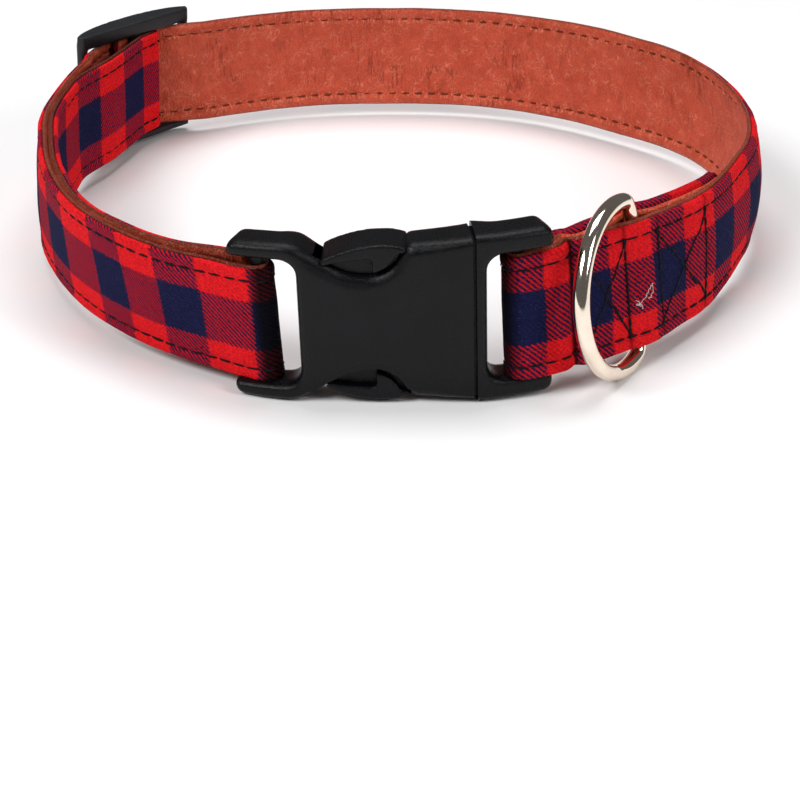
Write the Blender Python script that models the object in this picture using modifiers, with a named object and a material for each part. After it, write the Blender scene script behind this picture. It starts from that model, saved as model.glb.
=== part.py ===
"""Dog collar: a cloth strap with a leather lining, a side-release buckle, a slider and a D-ring.

The collar stands on its edge, as it does when it is fastened and set down. Everything is in metres with
+Z up. The buckle is at the front, towards -Y. Places round the loop are given by the angle from the front,
in degrees, which grows anticlockwise as seen from above.
"""

import math
from collections import namedtuple

import bmesh
import bpy
from mathutils import Matrix, Vector

MM = 0.001

# Strap
STRAP_WIDTH = 25.0 * MM
CLOTH = 1.0 * MM
LINING = 1.0 * MM
SEAM_GAP = 0.3 * MM
LAYER_GAP = 0.3 * MM
CLEARANCE = 0.35 * MM
LOOP_RADIUS = 76.5 * MM
INNER_END_ANGLE = 67.0
INNER_END_ROUND = 5.0 * MM
TAB_LENGTH = 5.0 * MM

# Buckle
BUCKLE_HALF = 31.0 * MM
BUCKLE_HEIGHT = 34.0 * MM
SOCKET_END_HEIGHT = 31.0 * MM
BUCKLE_DEPTH = 9.2 * MM
BUCKLE_WALL = 1.7 * MM
BUCKLE_SIDE = 3.0 * MM
BUCKLE_REACH = 72.3 * MM
BUCKLE_FLAT = 10.0 * MM
BUCKLE_BEND = 48.0 * MM
BUCKLE_ROLL = 1.6
BUCKLE_LIFT = 0.5 * MM
FRAME_DEPTH = 7.4 * MM
FRAME_IN = 0.2 * MM
SOCKET_SLOT = 17.6 * MM
PRONG_SLOT = 18.4 * MM
SLOT_CORNER = 2.2 * MM
BAR_WIDTH = 2.8 * MM
BAR_PLACE = 26.0 * MM
BAR_OUT = 1.0 * MM
BAR_LEAN = 0.09
SEAM = 15.2 * MM
SEAM_WIDTH = 0.7 * MM
NOTCH_START = -16.5 * MM
NOTCH_END = 3.3 * MM
NOTCH_DEPTH = 5.9 * MM
NOTCH_SKEW = 1.5
BUTTON_START = -11.8 * MM
BUTTON_STEP = -2.8 * MM
BUTTON_HEIGHT = 16.1 * MM
FIT = 0.4 * MM

# Slider
SLIDER_LENGTH = 33.0 * MM
SLIDER_HEIGHT = 32.0 * MM
SLIDER_LIFT = 0.3 * MM
SLIDER_BAR = 2.6 * MM
SLIDER_DEPTH = 3.2 * MM
SLIDER_BULGE = 1.6 * MM
SLIDER_ANGLE = 230.2
FOLD_SLACK = 2.4 * MM
FOLD_TIP = 1.6 * MM

# D-ring
RING_RADIUS = 16.3 * MM
RING_HALF_BAR = 15.0 * MM
RING_WIRE = 3.1 * MM
RING_CORNER = 1.8 * MM
RING_ANGLE = 40.3
RING_SWING = 19.0
RING_LIFT = 0.5 * MM
POCKET_SPREAD = 6.0

PLY = CLOTH + SEAM_GAP + LINING
LAYER_STEP = PLY + LAYER_GAP
MIDDLE_HEIGHT = BUCKLE_HEIGHT / 2
SLOT_HALF = STRAP_WIDTH / 2 + BUCKLE_LIFT + CLEARANCE
ROLL = math.sin(math.radians(BUCKLE_ROLL))
BAR_TURN = BAR_WIDTH / 2 + CLEARANCE + PLY / 2
SLIDER_TURN = SLIDER_BAR / 2 + CLEARANCE + PLY / 2
SLIDER_PITCH = (SLIDER_LENGTH - SLIDER_BAR) / 2
RING_TURN = RING_WIRE / 2 + CLEARANCE + PLY / 2
SLIDER_SPARE = 0.8 * MM

# Each row is a place on the loop: its angle, how far out the strap's outer face lies there as a share of the
# loop's radius, how far its top edge stands out past its bottom edge and how far its middle stands out past
# both as shares of the strap's width, and how much of the buckle's roll it follows.
Section = namedtuple("Section", "angle reach lean bulge roll")
SECTIONS = (
    Section(27, 1.014, -0.135, 0.000, 0.95),
    Section(34, 1.005, -0.150, 0.000, 0.82),
    Section(41, 1.007, -0.160, 0.000, 0.62),
    Section(48, 1.004, -0.105, 0.000, 0.40),
    Section(55, 1.006, -0.088, 0.020, 0.22),
    Section(63, 1.001, -0.056, 0.040, 0.08),
    Section(71, 1.002, -0.045, 0.060, 0.00),
    Section(80, 1.020, -0.036, 0.080, 0.00),
    Section(90, 1.033, -0.040, 0.085, 0.00),
    Section(101, 1.040, -0.045, 0.080, 0.00),
    Section(113, 1.050, -0.070, 0.060, 0.00),
    Section(122, 1.044, -0.040, 0.040, 0.00),
    Section(132, 1.019, -0.005, 0.020, 0.00),
    Section(142, 1.004, -0.005, 0.010, 0.00),
    Section(153, 0.990, -0.030, 0.000, 0.00),
    Section(164, 0.977, -0.045, 0.000, 0.00),
    Section(180, 0.965, -0.036, 0.000, 0.00),
    Section(200, 0.986, -0.028, 0.000, 0.00),
    Section(213, 1.017, -0.025, 0.000, 0.00),
    Section(221, 1.038, -0.060, 0.000, 0.00),
    Section(240, 1.066, -0.060, 0.000, 0.00),
    Section(250, 1.036, -0.060, 0.010, 0.00),
    Section(258, 1.012, -0.042, 0.020, 0.00),
    Section(269, 1.003, -0.042, 0.030, 0.00),
    Section(280, 0.995, -0.055, 0.030, 0.00),
    Section(294, 0.997, 0.030, 0.015, 0.03),
    Section(306, 1.006, 0.100, 0.005, 0.22),
    Section(316, 1.008, 0.130, 0.000, 0.45),
    Section(327, 1.009, 0.145, 0.000, 0.84),
    Section(334, 1.010, 0.125, 0.000, 0.95),
)

# Colours are linear RGB.
Finish = namedtuple("Finish", "colour roughness metallic")
FINISHES = {
    "plaid_cloth": Finish((0.30, 0.012, 0.030), 0.90, 0.0),
    "tan_leather": Finish((0.42, 0.095, 0.035), 0.50, 0.0),
    "black_plastic": Finish((0.012, 0.012, 0.014), 0.42, 0.0),
    "pale_gold": Finish((0.85, 0.68, 0.50), 0.14, 1.0),
}


def clear_scene():
    for obj in list(bpy.data.objects):
        bpy.data.objects.remove(obj, do_unlink=True)


def finish(name):
    material = bpy.data.materials.get(name)
    if material:
        return material
    look = FINISHES[name]
    material = bpy.data.materials.new(name)
    material.use_nodes = True
    shader = material.node_tree.nodes["Principled BSDF"]
    shader.inputs["Base Color"].default_value = (*look.colour, 1.0)
    shader.inputs["Roughness"].default_value = look.roughness
    shader.inputs["Metallic"].default_value = look.metallic
    return material


def collection(name, hidden=False):
    found = bpy.data.collections.get(name)
    if found is None:
        found = bpy.data.collections.new(name)
        bpy.context.scene.collection.children.link(found)
        found.hide_render = hidden
    return found


def new_object(name, mesh, group):
    obj = bpy.data.objects.new(name, mesh)
    group.objects.link(obj)
    return obj


# Plan of the loop


def hermite(before, start, end, after, share):
    """Smooth value between two table rows, each given as (place, value), with its neighbours' slopes."""
    span = end[0] - start[0]
    slope_start = (end[1] - before[1]) / (end[0] - before[0]) * span
    slope_end = (after[1] - start[1]) / (after[0] - start[0]) * span
    square = share * share
    cube = square * share
    return (
        (2 * cube - 3 * square + 1) * start[1]
        + (cube - 2 * square + share) * slope_start
        + (3 * square - 2 * cube) * end[1]
        + (cube - square) * slope_end
    )


def from_table(rows, angle):
    """Value at an angle from rows of (angle, value) that repeat after a full turn."""
    angle = angle % 360
    count = len(rows)
    index = sum(row[0] <= angle for row in rows) - 1

    def row(step):
        turn, place = divmod(index + step, count)
        return rows[place][0] + 360 * turn, rows[place][1]

    start = row(0)
    end = row(1)
    return hermite(row(-1), start, end, row(2), (angle - start[0]) / (end[0] - start[0]))


def direction(angle):
    return Vector((math.sin(math.radians(angle)), -math.cos(math.radians(angle))))


def buckle_heading(place):
    """How far the buckle has turned from straight, in radians, at a place along it."""
    return math.copysign(max(0.0, abs(place) - BUCKLE_FLAT) / BUCKLE_BEND, place)


def buckle_point(place, out=0.0):
    """Plan point at a place along the buckle and a distance out from its middle surface."""
    turn = abs(buckle_heading(place))
    along = min(abs(place), BUCKLE_FLAT) + BUCKLE_BEND * math.sin(turn)
    back = BUCKLE_BEND * (1 - math.cos(turn))
    middle = Vector((math.copysign(along, place), back - BUCKLE_REACH))
    return middle + out * direction(math.degrees(buckle_heading(place)))


def angle_of(point):
    return math.degrees(math.atan2(point.x, -point.y)) % 360


BAR_POINT = buckle_point(BAR_PLACE, BAR_OUT)
BAR_ANGLE = angle_of(BAR_POINT)
BAR_REACH = BAR_POINT.length + BAR_TURN + PLY / 2
REACHES = [(BAR_ANGLE, BAR_REACH)]
REACHES += [(row.angle, row.reach * LOOP_RADIUS) for row in SECTIONS]
REACHES += [(360 - BAR_ANGLE, BAR_REACH)]
LEANS = [(BAR_ANGLE, -BAR_LEAN)]
LEANS += [(row.angle, row.lean) for row in SECTIONS]
LEANS += [(360 - BAR_ANGLE, BAR_LEAN)]
BULGES = [(BAR_ANGLE, 0.0)]
BULGES += [(row.angle, row.bulge * STRAP_WIDTH) for row in SECTIONS]
BULGES += [(360 - BAR_ANGLE, 0.0)]
ROLLS = [(BAR_ANGLE, ROLL)]
ROLLS += [(row.angle, row.roll * ROLL) for row in SECTIONS]
ROLLS += [(360 - BAR_ANGLE, ROLL)]


def upright(point):
    """How far the strap moves in plan for each unit that it rises at this place."""
    angle = angle_of(point)
    return from_table(LEANS, angle) * point.normalized() - Vector((from_table(ROLLS, angle), 0.0))


def middle_height(point):
    """Height of the strap's middle line at this place."""
    return MIDDLE_HEIGHT + from_table(ROLLS, angle_of(point)) * point.x


def swell(angle, middle, spread):
    """A smooth hump of height 1 at the middle angle that dies out at the spread on each side."""
    away = abs(angle - middle)
    return 0.5 + 0.5 * math.cos(math.pi * away / spread) if away < spread else 0.0


def ramp(angle, start, end):
    """Rises smoothly from 0 at the start angle to 1 at the end angle."""
    share = min(1.0, max(0.0, (angle - start) / (end - start)))
    return share * share * (3 - 2 * share)


POCKET = 2 * RING_TURN - LAYER_STEP
POCKET_OUT = 0.3 * POCKET
POCKET_IN = POCKET - POCKET_OUT


def outer_layer(angle):
    """Plan point on the middle of the outer layer of the strap."""
    out = from_table(REACHES, angle) - PLY / 2
    return (out + POCKET_OUT * swell(angle, RING_ANGLE, POCKET_SPREAD)) * direction(angle)


def inner_right(angle):
    """Plan point on the layer that is folded back behind the D-ring."""
    bar_step = 2 * BAR_TURN - LAYER_STEP
    step = LAYER_STEP + bar_step * (1 - ramp(angle, BAR_ANGLE, BAR_ANGLE + 9))
    out = from_table(REACHES, angle) - PLY / 2 - step
    return (out - POCKET_IN * swell(angle, RING_ANGLE, POCKET_SPREAD)) * direction(angle)


def inner_left(angle):
    """Plan point on the layer that runs back from the buckle to the slider."""
    bar_step = 2 * BAR_TURN - LAYER_STEP
    far = 360 - BAR_ANGLE
    step = LAYER_STEP + bar_step * ramp(angle, far - 9, far)
    step += (LAYER_STEP + CLEARANCE) * (1 - ramp(angle, SLIDER_ANGLE + 11, SLIDER_ANGLE + 26))
    return (from_table(REACHES, angle) - PLY / 2 - step) * direction(angle)


def slider_frame():
    """Middle point of the slider in plan, the way along it and the way out of it."""
    before = outer_layer(SLIDER_ANGLE - 8)
    after = outer_layer(SLIDER_ANGLE + 8)
    along = (after - before).normalized()
    out = Vector((along.y, -along.x))
    return (before + after) / 2 + out * SLIDER_TURN, along, out


def arc(centre, radius, start, sweep, along, out):
    """Plan points on an arc round a bar. Its angles run from the way out towards the way along."""
    steps = max(2, round(abs(sweep) / 15))
    points = []
    for index in range(steps + 1):
        turn = math.radians(start + sweep * index / steps)
        points.append(centre + radius * (math.cos(turn) * out + math.sin(turn) * along))
    return points


def strap_route():
    """Plan points along the middle of the strap, from its inner end to the tab sewn round the slider's bar."""
    bar_right = BAR_POINT
    bar_left = Vector((-BAR_POINT.x, BAR_POINT.y))
    ahead = direction(BAR_ANGLE + 90)
    outward = direction(BAR_ANGLE)
    route = []
    angle = INNER_END_ANGLE
    while angle > BAR_ANGLE + 1.5:
        route.append(inner_right(angle))
        angle -= 1.5
    route += arc(bar_right, BAR_TURN, 180, 180, ahead, outward)

    middle, along, out = slider_frame()
    over = SLIDER_TURN + LAYER_STEP + SLIDER_SPARE
    slope = math.degrees(math.asin((over + SLIDER_TURN) / SLIDER_PITCH))
    reach = math.degrees((SLIDER_PITCH + 2 * MM) / LOOP_RADIUS)
    angle = BAR_ANGLE + 1.5
    while angle < SLIDER_ANGLE - reach:
        route.append(outer_layer(angle))
        angle += 1.5
    first = middle - along * SLIDER_PITCH
    last = middle + along * SLIDER_PITCH
    route += arc(first, SLIDER_TURN, 180, -slope, along, out)
    route += arc(middle, over, -slope, 2 * slope, along, out)
    route += arc(last, SLIDER_TURN, 180 + slope, -slope, along, out)
    angle = SLIDER_ANGLE + reach
    while angle < 360 - BAR_ANGLE - 1.5:
        route.append(outer_layer(angle))
        angle += 1.5

    ahead = direction(360 - BAR_ANGLE + 90)
    outward = direction(360 - BAR_ANGLE)
    route += arc(bar_left, BAR_TURN, 0, 180, ahead, outward)
    angle = 360 - BAR_ANGLE - 1.5
    while angle > SLIDER_ANGLE + reach - 2:
        route.append(inner_left(angle))
        angle -= 1.5

    to_bar = middle - route[-1]
    swing = math.asin(SLIDER_TURN / to_bar.length)
    heading = math.atan2(to_bar.dot(out), -to_bar.dot(along)) - swing
    start = 180 + math.degrees(heading)
    tip_step = SLIDER_TURN + FOLD_SLACK - FOLD_TIP
    taper = math.degrees(math.asin((SLIDER_TURN - FOLD_TIP) / tip_step))
    tip = middle - along * tip_step
    route += arc(middle, SLIDER_TURN, start, 180 + taper - start, along, out)
    route += arc(tip, FOLD_TIP, 180 + taper, 180 - 2 * taper, along, out)
    route += arc(middle, SLIDER_TURN, 360 - taper, taper + slope, along, out)
    tab = along * math.cos(math.radians(slope)) - out * math.sin(math.radians(slope))
    route.append(route[-1] + tab * TAB_LENGTH / 2)
    route.append(route[-1] + tab * TAB_LENGTH / 2)
    return route


def spaced(points, step):
    """The same route with points at an even step."""
    done = [points[0]]
    left = step
    for start, end in zip(points, points[1:]):
        length = (end - start).length
        place = left
        while place < length:
            done.append(start.lerp(end, place / length))
            place += step
        left = place - length
    done.append(points[-1])
    return done


def eased(points, passes):
    """The route with its corners softened."""
    for _ in range(passes):
        middle = [
            (before + 2 * here + after) / 4
            for before, here, after in zip(points, points[1:], points[2:])
        ]
        points = [points[0], *middle, points[-1]]
    return points


def stations(points, most_turn, most_step):
    """The fewest of these points that keep each turn and each step small."""
    kept = [points[0]]
    turned = 0.0
    gone = 0.0
    for before, here, after in zip(points, points[1:], points[2:]):
        turned += abs((here - before).angle_signed(after - here, 0.0))
        gone += (here - before).length
        if turned > math.radians(most_turn) or gone > most_step:
            kept.append(here)
            turned = 0.0
            gone = 0.0
    kept.append(points[-1])
    return kept


# Strap solids

LEVELS = ((0, -1.0), (1, -1.0), (1, -0.4), (1, 0.4), (1, 1.0), (0, 1.0), (0, 0.4), (0, -0.4))


def band(name, route, near, far, material):
    """A strip swept along the route between two distances to the right of it, closed at both ends."""
    body = bmesh.new()
    rings = []
    gone = 0.0
    for index, point in enumerate(route):
        before = route[max(0, index - 1)]
        after = route[min(len(route) - 1, index + 1)]
        along = (after - before).normalized()
        right = Vector((along.y, -along.x))
        gone += (point - before).length
        rounded = min(1.0, (gone + 0.1 * INNER_END_ROUND) / INNER_END_ROUND)
        half = STRAP_WIDTH / 2 - INNER_END_ROUND * (1 - math.sqrt(1 - (1 - rounded) ** 2))
        rise = upright(point)
        bulge = from_table(BULGES, angle_of(point)) * point.normalized()
        ring = []
        for side, level in LEVELS:
            height = level * half
            plan = point + (far if side else near) * right + height * rise
            plan += bulge * (1 - (2 * height / STRAP_WIDTH) ** 2)
            ring.append(body.verts.new((plan.x, plan.y, middle_height(point) + height)))
        rings.append(ring)
    corners = len(LEVELS)
    for ring, following in zip(rings, rings[1:]):
        for corner in range(corners):
            other = (corner + 1) % corners
            body.faces.new((ring[corner], following[corner], following[other], ring[other]))
    body.faces.new(rings[0])
    body.faces.new(reversed(rings[-1]))
    bmesh.ops.recalc_face_normals(body, faces=body.faces)
    mesh = bpy.data.meshes.new(name)
    body.to_mesh(mesh)
    body.free()
    mesh.materials.append(finish(material))
    return mesh


# Moulded pieces, drawn flat with +X along the piece, -Y outwards and +Z up


def rounded_outline(corners, steps=4):
    """Outline points from corners given as (x, y, radius)."""
    points = []
    count = len(corners)
    for index, (x, y, radius) in enumerate(corners):
        corner = Vector((x, y))
        if radius <= 0:
            points.append(corner)
            continue
        back = (Vector(corners[index - 1][:2]) - corner).normalized()
        ahead = (Vector(corners[(index + 1) % count][:2]) - corner).normalized()
        half = back.angle(ahead) / 2
        centre = corner + (back + ahead).normalized() * radius / math.sin(half)
        start = corner + back * radius / math.tan(half)
        sweep = (start - centre).angle_signed(corner + ahead * radius / math.tan(half) - centre)
        for step in range(steps + 1):
            turned = Matrix.Rotation(-sweep * step / steps, 2) @ (start - centre)
            points.append(centre + turned)
    return points


def plate(name, outline, depth, bevel=0.0, rounds=2, upright=True):
    """A hidden mesh object: the outline extruded evenly to a depth, with rounded rims."""
    curve = bpy.data.curves.new(name, "CURVE")
    curve.dimensions = "2D"
    curve.fill_mode = "BOTH"
    curve.extrude = depth / 2
    spline = curve.splines.new("POLY")
    spline.points.add(len(outline) - 1)
    for point, (x, y) in zip(spline.points, outline):
        point.co = (x, y, 0.0, 1.0)
    spline.use_cyclic_u = True
    drawn = new_object(name + "_curve", curve, collection("cutters", hidden=True))
    graph = bpy.context.evaluated_depsgraph_get()
    mesh = bpy.data.meshes.new_from_object(drawn.evaluated_get(graph))
    bpy.data.objects.remove(drawn, do_unlink=True)
    body = bmesh.new()
    body.from_mesh(mesh)
    bmesh.ops.remove_doubles(body, verts=body.verts, dist=1e-6)
    bmesh.ops.dissolve_limit(body, angle_limit=math.radians(1), verts=body.verts, edges=body.edges)
    if upright:
        bmesh.ops.rotate(body, matrix=Matrix.Rotation(math.pi / 2, 3, "X"), verts=body.verts)
    bmesh.ops.recalc_face_normals(body, faces=body.faces)
    body.to_mesh(mesh)
    body.free()
    piece = new_object(name, mesh, collection("cutters", hidden=True))
    piece.hide_render = True
    piece.display_type = "WIRE"
    if bevel > 0:
        rim = piece.modifiers.new("rim", "BEVEL")
        rim.width = bevel
        rim.segments = rounds
        rim.limit_method = "ANGLE"
        rim.angle_limit = math.radians(50)
    return piece


def box_outline(left, right, low, high, radius=0.0):
    return rounded_outline(
        [(left, low, radius), (right, low, radius), (right, high, radius), (left, high, radius)]
    )


def round_bar(name, place, width, height):
    """A hidden upright cylinder."""
    body = bmesh.new()
    bmesh.ops.create_cone(
        body,
        cap_ends=True,
        segments=16,
        radius1=width / 2,
        radius2=width / 2,
        depth=height,
        matrix=Matrix.Translation((place, 0, 0)),
    )
    mesh = bpy.data.meshes.new(name)
    body.to_mesh(mesh)
    body.free()
    bar = new_object(name, mesh, collection("cutters", hidden=True))
    bar.hide_render = True
    bar.display_type = "WIRE"
    return bar


def combine(base, tools, operation):
    for tool in tools:
        step = base.modifiers.new(operation.lower(), "BOOLEAN")
        step.operation = operation
        step.object = tool


def settled_mesh(obj):
    """The evaluated mesh of an object with its modifiers, as plain data."""
    graph = bpy.context.evaluated_depsgraph_get()
    mesh = bpy.data.meshes.new_from_object(obj.evaluated_get(graph))
    body = bmesh.new()
    body.from_mesh(mesh)
    bmesh.ops.remove_doubles(body, verts=body.verts, dist=1e-5)
    bmesh.ops.dissolve_degenerate(body, edges=body.edges, dist=1e-5)
    body.to_mesh(mesh)
    body.free()
    return mesh


def frozen(obj):
    """Gives an object its evaluated mesh, without its modifiers."""
    mesh = settled_mesh(obj)
    obj.modifiers.clear()
    obj.data = mesh
    return obj


def bent(mesh, step):
    """Bends a mesh that was drawn flat to the curve of the buckle."""
    body = bmesh.new()
    body.from_mesh(mesh)
    place = -math.floor(BUCKLE_HALF / step) * step
    while place < BUCKLE_HALF:
        if abs(place) > BUCKLE_FLAT - step:
            whole = body.verts[:] + body.edges[:] + body.faces[:]
            bmesh.ops.bisect_plane(
                body, geom=whole, dist=1e-6, plane_co=(place, 0, 0), plane_no=(1, 0, 0)
            )
        place += step
    bmesh.ops.triangulate(body, faces=body.faces)
    for vert in body.verts:
        plan = buckle_point(vert.co.x, -vert.co.y)
        rolled = plan.x * math.cos(math.asin(ROLL)) - vert.co.z * ROLL
        height = plan.x * ROLL + vert.co.z * math.cos(math.asin(ROLL))
        vert.co = Vector((rolled, plan.y, MIDDLE_HEIGHT + BUCKLE_LIFT + height))
    body.to_mesh(mesh)
    body.free()


def moulded(name, base, material):
    """A visible object from a finished hidden one."""
    mesh = base.data
    mesh.materials.clear()
    mesh.materials.append(finish(material))
    mesh.shade_smooth()
    mesh.set_sharp_from_angle(angle=math.radians(35))
    mesh.name = name
    return new_object(name, mesh, collection("dog_collar"))


# Buckle


def half_height(place):
    """Half the buckle's height at a place along it. The mouth of the socket flares."""
    low = SOCKET_END_HEIGHT / 2
    flare = (place - NOTCH_END) / (SEAM - NOTCH_END)
    back = 0.05 * max(0.0, place - SEAM)
    return low + (BUCKLE_HEIGHT / 2 - low) * min(1.0, max(0.0, flare)) - back


def notch_edge(place, spare=0.0):
    """Half height of the socket inside a thumb notch."""
    share = min(1.0, max(0.0, (place - NOTCH_START) / (NOTCH_END - NOTCH_START)))
    dip = math.sin(math.pi * share**NOTCH_SKEW) ** 0.85
    return SOCKET_END_HEIGHT / 2 - NOTCH_DEPTH * dip + spare


def mirrored(upper):
    """A closed outline from its upper side, given from left to right, and the same below."""
    return upper + [(x, -y) for x, y in reversed(upper)]


def shifted(obj, step):
    obj.data.transform(Matrix.Translation(step))
    return obj


def strap_bar(name, side):
    bar = round_bar(name, side * BAR_PLACE, BAR_WIDTH, 2 * SLOT_HALF + 2 * MM)
    for vert in bar.data.vertices:
        vert.co.y += side * BAR_LEAN * vert.co.z - BAR_OUT
    return bar


def end_slot(name, near, side):
    ends = sorted((side * near, side * (BUCKLE_HALF + 5 * MM)))
    return plate(name, box_outline(*ends, -SLOT_HALF, SLOT_HALF, SLOT_CORNER), 3 * BUCKLE_DEPTH)


def buckle_socket():
    start = 0.5 * SLOT_CORNER + SOCKET_SLOT
    upper = [(-start, half_height(-start))]
    for index in range(15):
        place = NOTCH_START + (NOTCH_END - NOTCH_START) * index / 14
        upper.append((place, notch_edge(place)))
    upper += [(SEAM - 0.6 * MM, half_height(SEAM)), (SEAM, half_height(SEAM) - 0.6 * MM)]
    body = frozen(plate("socket_body", mirrored(upper), BUCKLE_DEPTH, 1.6 * MM, 3))
    inside = NOTCH_START + 2 * MM
    corners = [
        (-BUCKLE_HALF, 0, 0),
        (-BUCKLE_HALF, half_height(-BUCKLE_HALF), 5.0 * MM),
        (NOTCH_START, half_height(NOTCH_START) - 0.2 * MM, 0),
        (inside, notch_edge(inside) - 0.6 * MM, 0),
        (inside, 0, 0),
    ]
    upper = [(point.x, point.y) for point in rounded_outline(corners)[1:-1]]
    frame = frozen(plate("socket_frame", mirrored(upper), FRAME_DEPTH, 1.0 * MM))
    shifted(frame, (0, FRAME_IN, 0))
    inner = BUCKLE_HEIGHT / 2 - BUCKLE_SIDE
    cavity_box = box_outline(NOTCH_START + 4 * MM, SEAM + 5 * MM, -inner, inner)
    cavity = plate("socket_cavity", cavity_box, BUCKLE_DEPTH - 2 * BUCKLE_WALL)
    combine(body, [frame], "UNION")
    combine(body, [end_slot("socket_slot", SOCKET_SLOT, -1), cavity], "DIFFERENCE")
    combine(body, [strap_bar("socket_bar", -1)], "UNION")
    frozen(body)
    bent(body.data, 3.2 * MM)
    return moulded("buckle_socket", body, "black_plastic")


def prong_head(side):
    """One squeeze button: a dome that fills the notch, hollow under its thin end."""
    lip = []
    for index in range(6):
        place = BUTTON_STEP + (NOTCH_END - 1.0 * MM - BUTTON_STEP) * index / 5
        lip.append((place, notch_edge(place + FIT, FIT)))
    top = []
    first = NOTCH_END - 0.8 * MM
    for index in range(11):
        share = index / 10
        drop = 10 * MM if share < 0.3 else 3.7 * MM
        place = first + (BUTTON_START - first) * share
        top.append((place, BUTTON_HEIGHT - drop * (share - 0.3) ** 2))
    tip = top[-1][1]
    low = [
        (BUTTON_START + 0.2 * MM, tip - 0.8 * MM),
        (BUTTON_START + 3.0 * MM, tip + 0.3 * MM),
        (BUTTON_STEP, BUTTON_HEIGHT - 1.8 * MM),
    ]
    outline = [(x, side * y) for x, y in lip + top + low]
    return frozen(plate("prong_head", outline, BUCKLE_DEPTH - 1.6 * MM, 0.6 * MM))


def prong_arm(side):
    depth = BUCKLE_DEPTH - 2 * BUCKLE_WALL - 2 * FIT
    outer = BUCKLE_HEIGHT / 2 - BUCKLE_SIDE - FIT
    outline = [
        (SEAM + 3 * MM, outer - 4.2 * MM),
        (SEAM + 3 * MM, outer - 0.6 * MM),
        (NOTCH_END, outer),
        (BUTTON_STEP, outer),
        (NOTCH_START + 5 * MM, outer - 2.6 * MM),
        (NOTCH_START + 5 * MM, outer - 4.6 * MM),
        (NOTCH_END, outer - 3.8 * MM),
    ]
    return frozen(plate("prong_arm", [(x, side * y) for x, y in outline], depth))


def buckle_prongs():
    start = SEAM + SEAM_WIDTH
    end = BUCKLE_HALF
    top = half_height(start)
    corners = [
        (start, -top, 0.6 * MM),
        (end, -half_height(end), 5.0 * MM),
        (end, half_height(end), 5.0 * MM),
        (start, top, 0.6 * MM),
    ]
    frame = frozen(plate("prong_frame", rounded_outline(corners), FRAME_DEPTH, 1.2 * MM))
    shifted(frame, (0, FRAME_IN, 0))
    block = box_outline(start, PRONG_SLOT + 0.5 * SLOT_CORNER, 0.3 * MM - top, top - 0.3 * MM, 0.6 * MM)
    base = frozen(plate("prong_base", block, BUCKLE_DEPTH, 1.5 * MM, 3))
    tongue = box_outline(-9 * MM, start + 2 * MM, -2.2 * MM, 2.2 * MM, 1.0 * MM)
    inner_depth = BUCKLE_DEPTH - 2 * BUCKLE_WALL - 2 * FIT
    combine(base, [frame], "UNION")
    combine(base, [end_slot("prong_slot", PRONG_SLOT, 1)], "DIFFERENCE")
    adds = [strap_bar("prong_bar", 1), frozen(plate("prong_tongue", tongue, inner_depth))]
    for side in (-1, 1):
        adds += [prong_arm(side), prong_head(side)]
    combine(base, adds, "UNION")
    frozen(base)
    bent(base.data, 3.2 * MM)
    return moulded("buckle_prongs", base, "black_plastic")


# Slider


def slider_rail(side):
    """One edge rail, flat towards the neck and bulging outwards."""
    half = SLIDER_LENGTH / 2
    low = SLOT_HALF
    outline = []
    for index in range(13):
        share = 1 - index / 6
        bulge = SLIDER_BULGE * (1 - share * share)
        outline.append((half * share, SLIDER_DEPTH / 2 * (1 - 0.5 * abs(share) ** 6) + bulge))
    outline += [(-half, 0.0), (-half + 0.8 * MM, -SLIDER_DEPTH / 2), (half - 0.8 * MM, -SLIDER_DEPTH / 2), (half, 0.0)]
    rail = plate("slider_rail", outline, SLIDER_HEIGHT / 2 - low, 0.8 * MM, 2, upright=False)
    frozen(rail)
    rail.data.transform(Matrix.Translation((0, 0, side * (SLIDER_HEIGHT / 2 + low) / 2)))
    return rail


def slider():
    base = slider_rail(1)
    places = (-SLIDER_PITCH, 0.0, SLIDER_PITCH)
    adds = [round_bar("slider_bar", place, SLIDER_BAR, SLIDER_HEIGHT - 3.4 * MM) for place in places]
    combine(base, [*adds, slider_rail(-1)], "UNION")
    frozen(base)
    middle, along, out = slider_frame()
    rise = upright(middle)
    for vert in base.data.vertices:
        plan = middle + vert.co.x * along + vert.co.y * out + vert.co.z * rise
        vert.co = Vector((plan.x, plan.y, middle_height(middle) + SLIDER_LIFT + vert.co.z))
    body = bmesh.new()
    body.from_mesh(base.data)
    bmesh.ops.recalc_face_normals(body, faces=body.faces)
    body.to_mesh(base.data)
    body.free()
    return moulded("slider", base, "black_plastic")


# D-ring


def ring_axis():
    """Point in the middle of the ring's straight bar, and the way up along the bar."""
    at = outer_layer(RING_ANGLE) - RING_TURN * direction(RING_ANGLE)
    rise = upright(at)
    return Vector((at.x, at.y, middle_height(at) + RING_LIFT)), Vector((rise.x, rise.y, 1.0)).normalized()


def ring_bow_way(up):
    """The way from the bar to the bow, square to the bar, as the ring rests against the strap."""
    flat = direction(RING_ANGLE - 90 + RING_SWING)
    way = Vector((flat.x, flat.y, 0.0))
    return (way - way.dot(up) * up).normalized()


def ring_path():
    """The wire's middle line: a straight bar and a round bow that is wider than the bar is long."""
    centre = math.sqrt(RING_RADIUS**2 - RING_HALF_BAR**2)
    corner = math.atan2(RING_HALF_BAR, -centre)
    arc_end = corner - RING_CORNER / RING_RADIUS
    path = []
    for index in range(29):
        turn = arc_end - 2 * arc_end * index / 28
        path.append((centre + RING_RADIUS * math.cos(turn), RING_RADIUS * math.sin(turn)))
    ends = [
        (0.22 * RING_CORNER, 0.12 * RING_CORNER - RING_HALF_BAR),
        (0.0, 0.9 * RING_CORNER - RING_HALF_BAR),
    ]
    return path + ends + [(x, -y) for x, y in reversed(ends)]


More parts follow.
